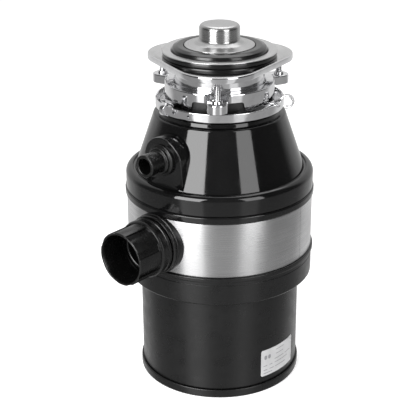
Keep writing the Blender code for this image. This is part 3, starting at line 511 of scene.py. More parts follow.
# ---- Sink mount ---------------------------------------------------------------------------------------
def make_sink_flange():
    bottom, top, rim = extent("sink_flange")
    neck, bore = SINK_NECK, SINK_BORE
    groove = middle("snap_ring").z
    profile = outline(
        (bore, bottom, 0.0003), (neck, bottom, 0.0005), (neck, groove - 0.0013),
        (neck - 0.0009, groove - 0.0013), (neck - 0.0009, groove + 0.0013), (neck, groove + 0.0013),
        (neck, top - 0.0050, 0.0012), (0.0475, top - 0.0012, 0.0010),
        (rim - 0.0004, top - 0.0012, 0.0003), (rim, top - 0.0006, 0.0004), (rim - 0.0008, top, 0.0005),
        (0.0485, top - 0.0003, 0.0020), (0.0450, top - 0.0030, 0.0020), (bore, top - 0.0075),
    )
    flange = dress(turned("sink_flange_detail", profile), "chrome", "sink_flange")
    second_finish(flange, "plate", lambda face: face.normal.z > 0.4)
    wire = arc(0.00092, 0, 330, 11, (neck + 0.00045, groove))
    dress(turned("snap_ring_detail", wire), "wire", "snap_ring")
    for node, bulge, clear in (("flange_gasket", 0.0005, 0.0033), ("sink_gasket", 0.0006, 0.0005)):
        foot, crown, outer = extent(node)
        inner = neck + clear
        gasket = outline(
            (inner, foot, 0.0002), (outer - bulge, foot, 0.0006), (outer, foot + 0.0012, 0.0008),
            (outer - 0.0002, crown - 0.0012, 0.0008), (outer - bulge, crown, 0.0006),
            (inner, crown, 0.0002),
        )
        dress(turned(f"{node}_detail", gasket), "gasket", node)


def rounded_triangle(offset, size, steps):
    """The plan of the backup plate: the hull of three circles towards the screws, counterclockwise."""
    points = []
    for angle in sorted(a % 360 for a in SCREW_ANGLES):
        centre = polar(offset, angle)
        lobe = arc(size, angle - 60, angle + 60, steps, (centre.x, centre.y))
        if points:
            points += straight(points[-1], lobe[0], 14)
        points += lobe
    return points + straight(points[-1], points[0], 14)


def straight(first, last, steps):
    return [tuple(Vector(first).lerp(Vector(last), k / steps)) for k in range(1, steps)]


def make_backup_plate():
    """Stamped plate: a flat seat, lobes that rise gently to a crown, and a rolled rim that turns down."""
    crown, bottom = high("backup_plate").z, low("backup_plate").z
    seat, seat_radius = crown - 0.0038, SEAT_RADIUS
    hole, sheet, bend = SINK_NECK + 0.0008, 0.0014, 0.0017
    plan = rounded_triangle(LOBE_OFFSET, LOBE_RADIUS, 26)

    def section(here, outward):
        towards = here.normalized()
        crest = here - outward * bend
        inner = towards * hole
        start = towards * min(seat_radius, crest.length - 0.0006)
        line = [Vector((*inner.lerp(start, t), seat)) for t in (0.0, 0.03, 0.5, 0.97, 1.0)]
        for k in range(1, 11):
            t = k / 10
            rise = 0.35 * t + 0.65 * smooth(t, 0.0, 1.0)
            line.append(Vector((*start.lerp(crest, t), seat + (crown - seat) * rise)))
        for k in range(1, 7):
            angle = math.radians(90 - 15 * k)
            reach = crest + outward * (bend * math.cos(angle))
            line.append(Vector((*reach, crown - bend + bend * math.sin(angle))))
        line.append(Vector((*here, bottom + 0.0008)))
        line.append(Vector((*(here - outward * 0.0003), bottom)))
        return line

    plate = settle(stamped("backup_plate_detail", plan, section, sheet), 40)
    dress(plate, "plate", "backup_plate")
    second_finish(plate, "chrome", lambda face: face.normal.z < 0.80)


def ear_plan(wall, half_width, samples=22):
    """Plan of the upper mounting ring: a circle with a round-ended tongue towards each screw."""
    points = []
    fillet = 0.0045
    for angle in sorted(a % 360 for a in SCREW_ANGLES):
        root = math.degrees(math.asin((half_width + fillet) / (wall + fillet)))
        side = polar(wall + fillet, root)
        run = arc(wall, -60, -root, samples)
        run += arc(fillet, 180 - root, 90, 6, (side.x, -side.y))[1:]
        run += straight(run[-1], (SCREW_CIRCLE, -half_width), 5)
        run += arc(half_width, -90, 90, 18, (SCREW_CIRCLE, 0.0))
        mirrored = [(x, -y) for x, y in reversed(run[: len(run) - 19])]
        run += mirrored
        turn = Matrix.Rotation(math.radians(angle), 2)
        points += [tuple(turn @ Vector(p)) for p in run[:-1]]
    return points


def smooth(value, start, end):
    t = max(0.0, min(1.0, (value - start) / (end - start)))
    return t * t * (3 - 2 * t)


def make_upper_mounting_ring():
    """Stamped ring: a flange at the top, a skirt with windows, and lower ears that carry the screws."""
    node = "upper_mounting_ring"
    bottom = low(node).z
    wall, half_width, bend, sheet = 0.0546, 0.0102, 0.0013, 0.0015
    top, shelf = high(node).z, EAR_SHELF
    hole = radius("snap_ring") - 0.0008

    def from_screw(here):
        angle = math.degrees(math.atan2(here.y, here.x))
        return min(abs((angle - a + 180) % 360 - 180) for a in SCREW_ANGLES)

    def section(here, outward):
        out = smooth(here.length, wall + 0.0008, wall + 0.0050)
        crown = top + (shelf - top) * out
        away = from_screw(here)
        open_here = 1.0 - smooth(away, 26.5, 28.0)
        foot = bottom + 0.0006 + (WINDOW_TOP - bottom) * open_here
        foot += (EAR_BOTTOM - WINDOW_TOP) * out
        inner = here.normalized() * hole
        inset = here - outward * bend
        line = [Vector((*inner, top - 0.0012)), Vector((*(inner * 1.012), top - 0.0003))]
        for t in (0.1, 0.35, 0.6, 0.85, 1.0):
            spot = inner.lerp(inset, t)
            dip = smooth(spot.length, wall - 0.0035, wall + 0.0050) * out
            line.append(Vector((*spot, top + (crown - top) * max(dip, out * t * t))))
        for k in range(1, 6):
            angle = math.radians(90 - 18 * k)
            reach = inset + outward * bend * math.cos(angle)
            line.append(Vector((*reach, crown - bend + bend * math.sin(angle))))
        for t in (0.2, 0.4, 0.6, 0.8, 1.0):
            line.append(Vector((*here, crown - bend + (foot - crown + bend) * t)))
        return line

    ring = settle(stamped("upper_mounting_ring_detail", ear_plan(wall, half_width), section, sheet), 40)
    holes = []
    for place in SCREW_PLACES:
        boss = outline(
            (0.0033, shelf - 0.0014), (0.0052, shelf - 0.0014), (0.0052, shelf + 0.0004, 0.0004),
            (0.0047, shelf + 0.0022, 0.0006), (0.0033, shelf + 0.0024, 0.0003),
        )
        holes.append(stand(rod("screw_hole", 0.0040, 0.29, 0.33, 32), (place.x, place.y, 0)))
        collar = stand(turned(f"ear_collar_{len(holes)}", boss, 48), (place.x, place.y, 0))
        dress(collar, "chrome", body="root")
    cut(ring, *holes)
    dress(ring, "chrome", node)

    ramp_start, ramp_end = 22.0, 66.0
    for k, angle in enumerate(SCREW_ANGLES):
        shape = bmesh.new()
        rows = []
        for i in range(33):
            t = i / 32
            rise = bottom - 0.0012 + 0.0028 * smooth(t, 0.0, 0.8)
            here = math.radians(angle + ramp_start + (ramp_end - ramp_start) * t)
            outer = 0.0597 - 0.0012 * (2 * t - 1) ** 8
            foot, root = rise - 0.0015, wall - 0.0010
            corners = (root, foot), (outer, foot, 0.0006), (outer, rise, 0.0006), (root, rise)
            loop = outline(*corners, steps=3)
            rows.append([shape.verts.new((r * math.cos(here), r * math.sin(here), z)) for r, z in loop])
        for a, b in zip(rows, rows[1:]):
            for i in range(len(a)):
                shape.faces.new((a[i], a[(i + 1) % len(a)], b[(i + 1) % len(b)], b[i]))
        shape.faces.new(rows[0])
        shape.faces.new(rows[-1])
        dress(to_object(f"bayonet_ramp_{k + 1}", shape), "chrome", body="root")


def threaded(name, size, bottom, top, pitch=0.0010, around=40, depth=0.00035):
    """A screw shank with a real helical thread."""
    shape = bmesh.new()
    rows = []
    count = int((top - bottom) / pitch * 8)
    for i in range(count + 1):
        z = bottom + (top - bottom) * i / count
        fade = smooth(min(z - bottom, top - z), 0.0, 0.0012)
        row = []
        for k in range(around):
            turn = k / around
            phase = ((z - bottom) / pitch - turn) % 1.0
            ridge = abs(2 * phase - 1)
            r = size - depth * ridge * fade - 0.0006 * (1 - smooth(top - z, 0.0, 0.0010))
            row.append(shape.verts.new((r * math.cos(math.tau * turn), r * math.sin(math.tau * turn), z)))
        rows.append(row)
    for a, b in zip(rows, rows[1:]):
        for k in range(around):
            shape.faces.new((a[k], a[(k + 1) % around], b[(k + 1) % around], b[k]))
    shape.faces.new(rows[0][::-1])
    shape.faces.new(rows[-1])
    return to_object(name, shape, 50)


def make_mounting_screws():
    for k, place in enumerate(SCREW_PLACES):
        node = f"mounting_screw_{k + 1}"
        bottom, top = low(node).z, high(node).z
        shank = threaded(f"{node}_detail", 0.0031, bottom + 0.0020, top)
        head = turned("screw_head", outline(
            (0.0, bottom), (0.0046, bottom, 0.0006), (0.0052, bottom + 0.0010, 0.0005),
            (0.0052, bottom + 0.0034, 0.0005), (0.0, bottom + 0.0034),
        ), SMALL_ROUND)
        cut(head, bar("screw_slot", 0.006, 0.0006, bottom - 0.001, bottom + 0.0012))
        join(shank, head)
        stand(shank, (place.x, place.y, 0))
        dress(shank, "zinc", node)
        pad = turned(f"screw_pad_{k + 1}", outline(
            (0.0026, top - 0.0022, 0.0003), (0.0045, top - 0.0022, 0.0006),
            (0.0047, top - 0.0004, 0.0003), (0.0026, top - 0.0004, 0.0002),
        ), SMALL_ROUND)
        stand(pad, (place.x, place.y, 0))
        dress(pad, "zinc", body=BODY_OF[node])


def make_lower_mounting_ring():
    node = "lower_mounting_ring"
    foot, outer = RING_FOOT, RING_OUTER
    sheet, crown, web = 0.0016, 0.0090, 0.0535
    profile = outline(
        (web, foot), (outer, foot, 0.0013), (outer, foot + crown, 0.0007),
        (outer - sheet, foot + crown, 0.0006), (outer - sheet, foot + 0.0015, 0.0006),
        (web, foot + 0.0015),
    )
    ring = turned("lower_mounting_ring_detail", profile, 192)
    upright = Matrix.Rotation(math.radians(90), 4, "X")
    post_radii = (outer - sheet + 0.0001, outer - 0.0001)
    post_heights = (foot + crown - 0.002, foot + 0.0104)
    finger_radii = (0.0568, outer - 0.0003)
    finger_heights = (foot + 0.0092, foot + 0.0106)
    for screw in SCREW_ANGLES:
        hook_angle, lug_angle = screw + 63.5, screw + 74.5
        post = sector("post", post_radii, post_heights, hook_angle, 4, 8)
        finger = sector("finger", finger_radii, finger_heights, hook_angle, 4.2, 8, 0.0003)
        curl = arc(LUG_RADIUS, 188, -108, 40) + arc(LUG_RADIUS - 0.0017, -108, 188, 40)
        lug = prism("lug", curl, -0.0029, 0.0029, 0.0004)
        outward = Matrix.Rotation(math.radians(lug_angle), 4, "Z")
        lug.data.transform(Matrix.Translation(polar(LUG_OFFSET, lug_angle, LUG_HEIGHT)) @ outward @ upright)
        join(ring, post, finger, lug)
    for screw in SCREW_ANGLES:
        drill = rod("drill", 0.0011, 0.058, 0.068, 24)
        stand(drill, (0, 0, foot + 0.0050), (0, 90, 0))
        cut(ring, stand(drill, (0, 0, 0), (0, 0, screw - 26)))
    dress(ring, "chrome", node)


def make_rubber_mount():
    foot, crown = low("mounting_gasket").z, high("mounting_gasket").z
    flange = 0.0598
    inner, outer = 0.0455, 0.0524
    ledge, seat = 0.2875, 0.2887
    profile = outline(
        (inner, foot, 0.0006), (outer, foot, 0.0006), (outer, ledge), (flange, ledge, 0.0004),
        (flange, seat, 0.0004), (outer, seat), (outer, crown, 0.0012), (inner, crown, 0.0012),
    )
    dress(turned("mounting_gasket_detail", profile), "rubber", "mounting_gasket")
    rim = 0.0415
    bottom, top, outer = extent("splash_guard")
    baffle = outline(
        (rim, bottom), (outer, bottom, 0.0005), (outer, top, 0.0008), (rim, top, 0.0008),
        (rim, bottom + 0.0040), (0.0300, bottom + 0.0026), (0.0140, bottom + 0.0020, 0.0004),
        (0.0140, bottom + 0.0005, 0.0004), (0.0300, bottom + 0.0011), (rim, bottom + 0.0023),
    )
    guard = turned("splash_guard_detail", baffle, 96)
    slits = []
    for k in range(4):
        slit = bar("slit", 0.037, 0.0006, bottom - 0.01, top + 0.01)
        slits.append(stand(slit, (0, 0, 0), (0, 0, 22.5 + 45 * k)))
    cut(guard, *slits)
    dress(guard, "rubber", "splash_guard")


# ---- Housing ------------------------------------------------------------------------------------------
def make_hopper_cover():
    node = "hopper_cover"
    bottom, top, shoulder = extent(node)
    step = bottom + 0.0202
    cone_base, cone_top, cone_height = CONE_BASE, CONE_TOP, top - 0.0042
    neck = 0.0605
    profile = outline(
        (shoulder - 0.0028, bottom), (shoulder - 0.0003, bottom, 0.0003),
        (shoulder, bottom + 0.0006, 0.0003), (shoulder, step, 0.0062),
        (cone_base + 0.0028, step, 0.0008), (cone_base + 0.0022, step - 0.0016, 0.0004),
        (cone_base + 0.0002, step - 0.0016, 0.0004), (cone_top, cone_height, 0.0030),
        (neck + 0.0006, cone_height + 0.0002, 0.0008), (neck, top, 0.0008), (0.0530, top, 0.0004),
        (0.0530, cone_height - 0.0025), (0.0500, cone_height - 0.0025), (0.0500, cone_height - 0.0055),
        (0.0640, cone_height - 0.0055, 0.0020), (0.0812, step + 0.0027), (0.0812, step - 0.0035),
        (shoulder - 0.0028, step - 0.0035), steps=7,
    )
    cover = turned("hopper_cover_detail", profile, 224)
    half = BOSS_HALF
    straight_part = step - INLET_HEIGHT - 0.0006
    front, lean = 0.0850, 0.07
    arch = [(-half, straight_part), (half, straight_part)] + arc(half, 0, 180, 40, (0.0, -0.0018))
    boss = prism("boss", arch, 0.0450, front, 0.0011)
    for point in boss.data.vertices:
        point.co.z += lean * point.co.y * (point.co.z > 0.08)
    along_outlet(boss, INLET_HEIGHT)
    pad = along_outlet(rod("pad", 0.0157, 0.0700, front, 96), INLET_HEIGHT)
    inside = turned("inside", outline(
        (0.0, 0.2900), (0.0498, 0.2900), (0.0498, cone_height - 0.0060),
        (0.0638, cone_height - 0.0060), (0.0810, step + 0.0027), (0.0810, 0.2000), (0.0, 0.2000),
    ), 96)
    join(boss, pad)
    cut(boss, inside)
    join(cover, boss)
    cut(cover, along_outlet(rod("bore", HOSE_BORE, 0.05, 0.1, 48), INLET_HEIGHT))
    dress(cover, "gloss", node)


def make_trims():
    bottom, top, bead = extent("lower_trim_ring")
    inner = radius("motor_can") + 0.0003
    wall = bead - 0.0014
    lower = outline(
        (inner, bottom, 0.0004), (wall - 0.0014, bottom, 0.0006), (wall, bottom + 0.0016, 0.0008),
        (wall, top - 0.0092), (wall - 0.0004, top - 0.0088, 0.0002),
        (wall - 0.0004, top - 0.0084, 0.0002), (wall, top - 0.0080), (wall, top - 0.0052, 0.0006),
        (bead, top - 0.0040, 0.0008), (bead, top - 0.0006, 0.0008), (bead - 0.0012, top, 0.0003),
        (0.0930, top), (0.0930, bottom + 0.0025, 0.0005), (inner, bottom + 0.0025),
    )
    dress(turned("lower_trim_ring_detail", lower, 224), "satin", "lower_trim_ring")
    bottom, top, bead = extent("upper_trim_ring")
    upper = outline(
        (0.0928, bottom), (bead - 0.0008, bottom, 0.0003), (bead, bottom + 0.0012, 0.0008),
        (bead, top - 0.0012, 0.0009), (bead - 0.0010, top, 0.0004), (0.0928, top),
    )
    dress(turned("upper_trim_ring_detail", upper, 224), "gloss", "upper_trim_ring")
    bottom, top, outer = extent("steel_band")
    band = turned("steel_band_detail", outline(
        (outer - 0.0010, bottom), (outer, bottom, 0.0003), (outer, top, 0.0003), (outer - 0.0010, top),
    ), 224)
    hole = along_outlet(rod("hole", 0.0265, 0.05, 0.12, 96), OUTLET_HEIGHT)
    near, far, half = outer - 0.0004, outer + 0.001, 0.0002
    groove = [(near, -half), (far, -half), (far, half), (near, half)]
    seam = prism("seam", groove, bottom - 0.001, top + 0.001)
    stand(seam, (0, 0, 0), (0, 0, 7.5))
    cut(band, hole, seam)
    dress(band, "band", "steel_band")


def make_can():
    bottom, top, outer = extent("motor_can")
    profile = outline(
        (0.0700, bottom), (outer, bottom, 0.0005), (outer, top, 0.0004), (outer - 0.0025, top),
        (outer - 0.0025, bottom + 0.0030), (0.0700, bottom + 0.0030),
    )
    can = turned("motor_can_detail", profile, 224)
    gland = middle("power_cord_grommet")
    hole = stand(rod("hole", 0.0070, 0.06, 0.1, 48), (0, 0, gland.z), (-90, 0, 0))
    screws = [stand(rod("hole", 0.0019, 0.0, 0.02, 24), place) for place in BASE_SCREW_PLACES]
    cut(can, hole, *screws)
    dress(can, "can", "motor_can")
    near, far = low("power_cord_grommet").y, high("power_cord_grommet").y
    size = radius("power_cord_grommet")
    profile = outline(
        (0.0042, near, 0.0003), (size - 0.0005, near, 0.0004), (size - 0.0005, near + 0.0026, 0.0004),
        (0.0066, near + 0.0026), (0.0066, near + 0.0074), (size, near + 0.0074, 0.0005),
        (size - 0.0010, far, 0.0012), (0.0042, far, 0.0008),
    )
    grommet = turned("power_cord_grommet_detail", profile, 64)
    stand(grommet, (0, 0, gland.z), (-90, 0, 0))
    dress(grommet, "rubber", "power_cord_grommet")


def make_base():
    outer, top = radius("base_cover"), high("base_cover").z
    profile = outline(
        (0.0, 0.0), (0.0700, 0.0), (0.0704, 0.0006, 0.0002), (0.0716, 0.0006, 0.0002), (0.0720, 0.0),
        (outer - 0.0004, 0.0, 0.0004), (outer, 0.0010, 0.0006), (outer, top - 0.0004, 0.0009),
        (outer - 0.0010, top, 0.0003), (outer - 0.0013, top - 0.0003), (0.0805, top - 0.0003),
        (0.0805, 0.0030), (0.0, 0.0030),
    )
    base = turned("base_cover_detail", profile, 224)
    button = middle("reset_button")
    cuts = [stand(rod("hole", 0.0066, -0.01, 0.01, 48), (button.x, button.y, 0))]
    stepped = [
        (0.0, -0.01), (0.0036, -0.01), (0.0036, 0.0024), (0.0019, 0.0024), (0.0019, 0.02), (0.0, 0.02),
    ]
    for place in BASE_SCREW_PLACES:
        cuts.append(stand(turned("hole", stepped, 32), place))
        join(base, stand(rod("boss", 0.0050, 0.0020, top - 0.0006, 32), place))
    cut(base, *cuts)
    dress(base, "satin", "base_cover")
    for k in range(3):
        node = f"base_screw_{k + 1}"
        bottom, tip, place = low(node).z, high(node).z, middle(node)
        head = turned(f"{node}_detail", outline(
            (0.0, bottom), (0.0032, bottom, 0.0006), (0.0032, bottom + 0.0014, 0.0002),
            (0.0016, bottom + 0.0014), (0.0016, tip, 0.0008), (0.0, tip),
        ), 32)
        slots = [bar("cross", 0.0020, 0.0004, bottom - 0.001, bottom + 0.0008) for _ in range(2)]
        stand(slots[1], (0, 0, 0), (0, 0, 90))
        cut(head, *slots)
        stand(head, (place.x, place.y, 0))
        dress(head, "wire", node)
    bottom, tip = low("reset_button").z, high("reset_button").z
    shape = turned("reset_button_detail", outline(
        (0.0, bottom + 0.0004), (0.0030, bottom + 0.0002), (0.0052, bottom, 0.0006),
        (0.0058, bottom + 0.0008, 0.0004), (0.0058, bottom + 0.0063, 0.0004),
        (0.0035, bottom + 0.0068), (0.0035, tip, 0.0006), (0.0, tip),
    ), SMALL_ROUND)
    stand(shape, (button.x, button.y, 0))
    dress(shape, "red", "reset_button")


def wrapped(shape, reach, thickness, first, last, bottom, top, corner, steps):
    """Adds a thin patch to a bmesh, wrapped round the Z axis between two angles, with rounded corners."""
    span = math.radians(last - first) * reach
    rows = []
    for k in range(steps + 1):
        s = span * k / steps
        depth = min(s, span - s)
        trim = corner - math.sqrt(max(0.0, corner**2 - (corner - depth) ** 2)) if depth < corner else 0.0
        angle = math.radians(first) + s / reach
        row = []
        face, foot, head = reach + thickness, bottom + trim, top - trim
        for r, z in ((reach, foot), (face, foot), (face, head), (reach, head)):
            row.append(shape.verts.new((r * math.cos(angle), r * math.sin(angle), z)))
        rows.append(row)
    for a, b in zip(rows, rows[1:]):
        for i in range(4):
            shape.faces.new((a[i], a[(i + 1) % 4], b[(i + 1) % 4], b[i]))
    shape.faces.new(rows[0])
    shape.faces.new(rows[-1])


def make_label():
    """A film label. Its print is plain bars, with no lettering."""
    bottom, top = low("rating_label").z, high("rating_label").z
    reach = radius("motor_can") + 0.0001
    half = math.degrees(math.asin((high("rating_label").y - low("rating_label").y) / 2 / reach))
    centre = math.degrees(math.asin(middle("rating_label").y / reach))
    shape = bmesh.new()
    wrapped(shape, reach, 0.0002, centre - half, centre + half, bottom, top, 0.0016, 48)
    dress(to_object("rating_label_detail", shape), "label", "rating_label")
    ink = bmesh.new()
    height = top - bottom
    rows = (
        (0.86, ((0.40, 0.66),)), (0.70, ((0.40, 0.64),)), (0.52, ((0.36, 0.66), (0.70, 0.92))),
        (0.38, ((0.06, 0.16), (0.22, 0.30), (0.36, 0.80))),
        (0.22, ((0.06, 0.16), (0.22, 0.34), (0.38, 0.72))), (0.10, ((0.06, 0.30),)),
    )

    def printed(start, end, foot, head, corner):
        first, last = centre - half + 2 * half * start, centre - half + 2 * half * end
        wrapped(ink, reach + 0.0002, 0.00003, first, last, foot, head, corner, 12)

    for level, bars in rows:
        z = bottom + height * level
        for start, end in bars:
            printed(start, end, z - 0.0004, z + 0.0004, 0.0001)
    for start in (0.08, 0.18):
        printed(start, start + 0.07, bottom + height * 0.62, bottom + height * 0.78, 0.0015)
    dress(to_object("label_bars", ink), "ink", body="root")


# ---- Connections --------------------------------------------------------------------------------------
def make_outlet():
    start, tube_end, _ = forward("discharge_tube")
    bore, tube = DRAIN_BORE, DRAIN_TUBE
    profile = outline(
        (bore, start), (0.0262, start), (0.0262, start + 0.0016, 0.0003), (tube, start + 0.0016),
        (tube, tube_end, 0.0006), (bore, tube_end, 0.0014),
    )
    pipe = along_outlet(turned("discharge_tube_detail", profile, 96), OUTLET_HEIGHT)
    dress(pipe, "fitting", "discharge_tube")
    near, far, size = forward("outlet_saddle")
    saddle = turned("outlet_saddle_detail", outline(
        (tube + 0.0004, near - 0.010), (size, near - 0.010), (size, far, 0.0014),
        (tube + 0.0004, far, 0.0003),
    ), 128)
    along_outlet(saddle, OUTLET_HEIGHT)
    on_band, on_trim = radius("steel_band") + 0.0003, 0.0972
    low_band, high_band = low("steel_band").z, high("steel_band").z
    body = turned("body", [
        (0.0, 0.1), (on_trim, 0.1), (on_trim, low_band), (on_band, low_band), (on_band, high_band),
        (on_trim, high_band), (on_trim, 0.23), (0.0, 0.23),
    ], 192)
    cut(saddle, body)
    dress(saddle, "fitting", "outlet_saddle")
    near, far, size = forward("outlet_seal")
    seal = outline(
        (tube + 0.0004, near), (size - 0.0004, near, 0.0004), (size, near + 0.0014, 0.0006),
        (size, far - 0.0012, 0.0006), (size - 0.0008, far, 0.0004), (tube + 0.0004, far),
    )
    dress(along_outlet(turned("outlet_seal_detail", seal, 96), OUTLET_HEIGHT), "gasket", "outlet_seal")
    near, end, collar = forward("outlet_nut")
    inner, body_size = tube + 0.0008, 0.0254
    nut = outline(
        (inner, near, 0.0004), (collar - 0.0008, near, 0.0006), (collar, near + 0.0012, 0.0008),
        (collar, near + 0.0036, 0.0004), (collar - 0.0008, near + 0.0041, 0.0002),
        (collar - 0.0008, near + 0.0049, 0.0002), (collar, near + 0.0054, 0.0004),
        (collar, near + 0.0115, 0.0010), (collar - 0.0012, near + 0.0132, 0.0006),
        (body_size, near + 0.0136, 0.0004), (body_size, end - 0.0028),
        (body_size + 0.0006, end - 0.0022, 0.0003), (body_size + 0.0006, end, 0.0006),
        (inner + 0.0014, end, 0.0005), (inner, end - 0.0040),
    )
    nut_piece = turned("outlet_nut_detail", nut, 128)
    rib_radii = (body_size - 0.0008, body_size + 0.0013)
    ribs = []
    for k in range(8):
        ribs.append(sector("rib", rib_radii, (near + 0.0110, end - 0.0003), 45 * k, 15.0, 8, 0.0006))
    join(nut_piece, *ribs)
    dress(along_outlet(nut_piece, OUTLET_HEIGHT), "fitting", "outlet_nut")


def make_inlet():
    start, end, flange = forward("dishwasher_inlet")
    bore, tip = HOSE_BORE, 0.0111
    profile = outline(
        (bore, start), (flange, start, 0.0002), (flange, start + 0.0028, 0.0008),
        (0.0130, start + 0.0034, 0.0004), (0.0130, start + 0.0062, 0.0008),
        (0.0106, start + 0.0068, 0.0006), (0.0106, start + 0.0100), (0.0102, start + 0.0118, 0.0003),
        (0.0107, start + 0.0124, 0.0002), (0.0103, start + 0.0150, 0.0003),
        (0.0108, start + 0.0156, 0.0002), (0.0105, start + 0.0180, 0.0003),
        (tip, start + 0.0188, 0.0003), (tip, end, 0.0010), (bore, end, 0.0012),
    )
    spigot = along_outlet(turned("dishwasher_inlet_detail", profile, 96), INLET_HEIGHT)
    dress(spigot, "fitting", "dishwasher_inlet")


# ---- Inner parts: the CAD shapes stay, with their own finishes ----------------------------------------
INNER = {
    "aluminium": ("drain_chamber", "lower_end_frame"),
    "stainless": (
        "shredder_ring", "turntable", "impeller_1", "impeller_2", "impeller_pin_1", "impeller_pin_2",
        "lower_bearing", "upper_bearing",
    ),
    "wire": ("turntable_nut", "motor_shaft", *(f"through_bolt_{k}" for k in (1, 2, 3, 4))),
    "lamination": ("rotor_core", "stator_core"),
    "copper": ("upper_winding", "lower_winding"),
    "rubber": ("outlet_gasket", "shaft_seal"),
    "grey": ("start_capacitor", "start_relay", "overload_protector", "motor_leads"),
}


def finish_inner_parts():
    for finish, nodes in INNER.items():
        for node in nodes:
            frame["nodes"][node].data.materials.clear()
            frame["nodes"][node].data.materials.append(FINISHES[finish][0])


# ---- Studio -------------------------------------------------------------------------------------------
def make_floor():
    shape = bmesh.new()
    bmesh.ops.create_circle(shape, cap_ends=True, segments=96, radius=7.0)
    floor = to_object("studio_floor", shape)
    floor.location.z = -0.0003
    white = bpy.data.materials.new("studio_white")
    white.use_nodes = True
    sockets = white.node_tree.nodes["Principled BSDF"].inputs
    sockets["Base Color"].default_value = (0.92, 0.92, 0.92, 1)
    sockets["Roughness"].default_value = 0.9
    sockets["Emission Color"].default_value = (1, 1, 1, 1)
    sockets["Emission Strength"].default_value = 0.45
    floor.data.materials.append(white)
    floor.visible_glossy = False


STUDIO_LIGHT = 1.6
# How bright the studio is by azimuth from the camera's side, in degrees, positive to its right
WALLS = (
    (-180, 1.0), (-128, 0.95), (-108, 0.14), (-60, 0.08), (-30, 0.20), (0, 0.28), (30, 0.20),
    (60, 0.08), (108, 0.12), (128, 0.95), (180, 1.0),
)
FLOOR_GLOW = (
    (-180, 1.0), (-128, 0.90), (-108, 0.42), (-60, 0.40), (-50, 0.50), (-45, 1.85), (-21, 1.50),
    (-18, 0.72), (-6, 0.55), (12, 0.54), (23, 0.62), (28, 1.10), (44, 1.08), (50, 0.50), (66, 0.44),
    (108, 0.46), (128, 0.90), (180, 1.0),
)


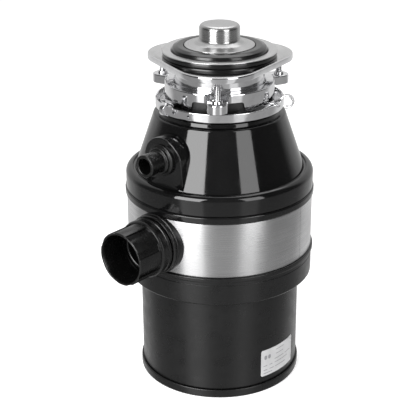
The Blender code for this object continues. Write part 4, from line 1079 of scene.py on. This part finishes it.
def make_world():
    """A pale studio: white behind the object and dark beside it, with a glow below the horizon."""
    world = bpy.data.worlds.new("studio")
    bpy.context.scene.world = world
    world.use_nodes = True
    nodes, links = world.node_tree.nodes, world.node_tree.links
    nodes.clear()

    def add(kind, sockets, **properties):
        node = nodes.new(kind)
        for key, value in properties.items():
            setattr(node, key, value)
        for key, value in sockets.items():
            if isinstance(value, bpy.types.NodeSocket):
                links.new(value, node.inputs[key])
            else:
                node.inputs[key].default_value = value
        return node.outputs[0]

    direction = nodes.new("ShaderNodeTexCoord").outputs["Generated"]
    facing = {"Vector": direction, "Angle": math.radians(-VIEW_AZIMUTH)}
    to_front = add("ShaderNodeVectorRotate", facing, rotation_type="Z_AXIS")
    split = nodes.new("ShaderNodeSeparateXYZ")
    links.new(to_front, split.inputs[0])
    x, y, z = split.outputs
    front = add("ShaderNodeMath", {0: y, 1: -1.0}, operation="MULTIPLY")
    azimuth = add("ShaderNodeMath", {0: x, 1: front}, operation="ARCTAN2")
    place = add("ShaderNodeMapRange", {"Value": azimuth, "From Min": -math.pi, "From Max": math.pi})

    def ramp(stops):
        node = nodes.new("ShaderNodeValToRGB")
        links.new(place, node.inputs[0])
        row = node.color_ramp.elements
        while len(row) < len(stops):
            row.new(0.5)
        for element, (degrees, light) in zip(row, stops):
            element.position = (degrees + 180) / 360
        for element, (degrees, light) in zip(row, stops):
            element.color = (light / 2, light / 2, light / 2, 1.0)
        return node.outputs[0]

    horizon = {"Value": z, "From Min": 0.06, "From Max": -0.06}
    below = add("ShaderNodeMapRange", horizon, interpolation_type="SMOOTHSTEP")
    half = add("ShaderNodeMix", {0: below, 6: ramp(WALLS), 7: ramp(FLOOR_GLOW)}, data_type="RGBA")
    half = half.node.outputs[2]
    total = add("ShaderNodeMath", {0: half, 1: STUDIO_LIGHT}, operation="MULTIPLY")
    seen = nodes.new("ShaderNodeLightPath").outputs["Is Camera Ray"]
    strength = add("ShaderNodeMix", {0: seen, 2: total, 3: 1.0}, data_type="FLOAT")
    background = nodes.new("ShaderNodeBackground")
    background.inputs["Color"].default_value = (1, 1, 1, 1)
    links.new(strength, background.inputs["Strength"])
    output = nodes.new("ShaderNodeOutputWorld")
    links.new(background.outputs[0], output.inputs[0])


def soft_box(name, azimuth, elevation, distance, width, height, power):
    """A rectangular soft box. Azimuth is in degrees from the camera's side, positive to its right."""
    turn = math.radians(VIEW_AZIMUTH + azimuth)
    rise = math.radians(elevation)
    level = Vector((math.sin(turn), -math.cos(turn), 0.0)) * math.cos(rise)
    place = (level + Vector((0.0, 0.0, math.sin(rise)))) * distance
    target = Vector((0.0, 0.0, middle("steel_band").z))
    data = bpy.data.lights.new(name, "AREA")
    data.shape = "RECTANGLE"
    data.size = width
    data.size_y = height
    data.energy = power
    light = bpy.data.objects.new(name, data)
    light.location = place + target
    light.rotation_euler = (-place).to_track_quat("-Z", "Y").to_euler()
    bpy.context.scene.collection.objects.link(light)
    light.visible_camera = False


def make_lights():
    soft_box("soft_box_left", -37.3, 24.0, 1.8, 1.03, 1.50, 45.0)
    soft_box("soft_box_right", 40.6, 24.0, 1.8, 0.74, 1.50, 14.0)
    soft_box("soft_box_top", 170.0, 70.0, 2.0, 1.6, 1.6, 16.0)


def make_camera():
    distance, height, pitch = 1.071, 0.6275, 22.63
    turn = math.radians(VIEW_AZIMUTH)
    data = bpy.data.cameras.new("camera")
    data.sensor_width = 36.0
    data.lens = 97.06
    data.shift_x = -0.0279
    data.shift_y = -0.0108
    camera = bpy.data.objects.new("camera", data)
    camera.location = (distance * math.sin(turn), -distance * math.cos(turn), height)
    camera.rotation_euler = (math.radians(90 - pitch), 0.0, turn)
    bpy.context.scene.collection.objects.link(camera)
    bpy.context.scene.camera = camera


def main():
    make_camera()
    make_stopper()
    make_sink_flange()
    make_backup_plate()
    make_upper_mounting_ring()
    make_mounting_screws()
    make_lower_mounting_ring()
    make_rubber_mount()
    make_hopper_cover()
    make_trims()
    make_can()
    make_base()
    make_label()
    make_outlet()
    make_inlet()
    finish_inner_parts()
    make_floor()
    make_world()
    make_lights()
    bpy.context.scene.view_settings.view_transform = "Standard"


main()
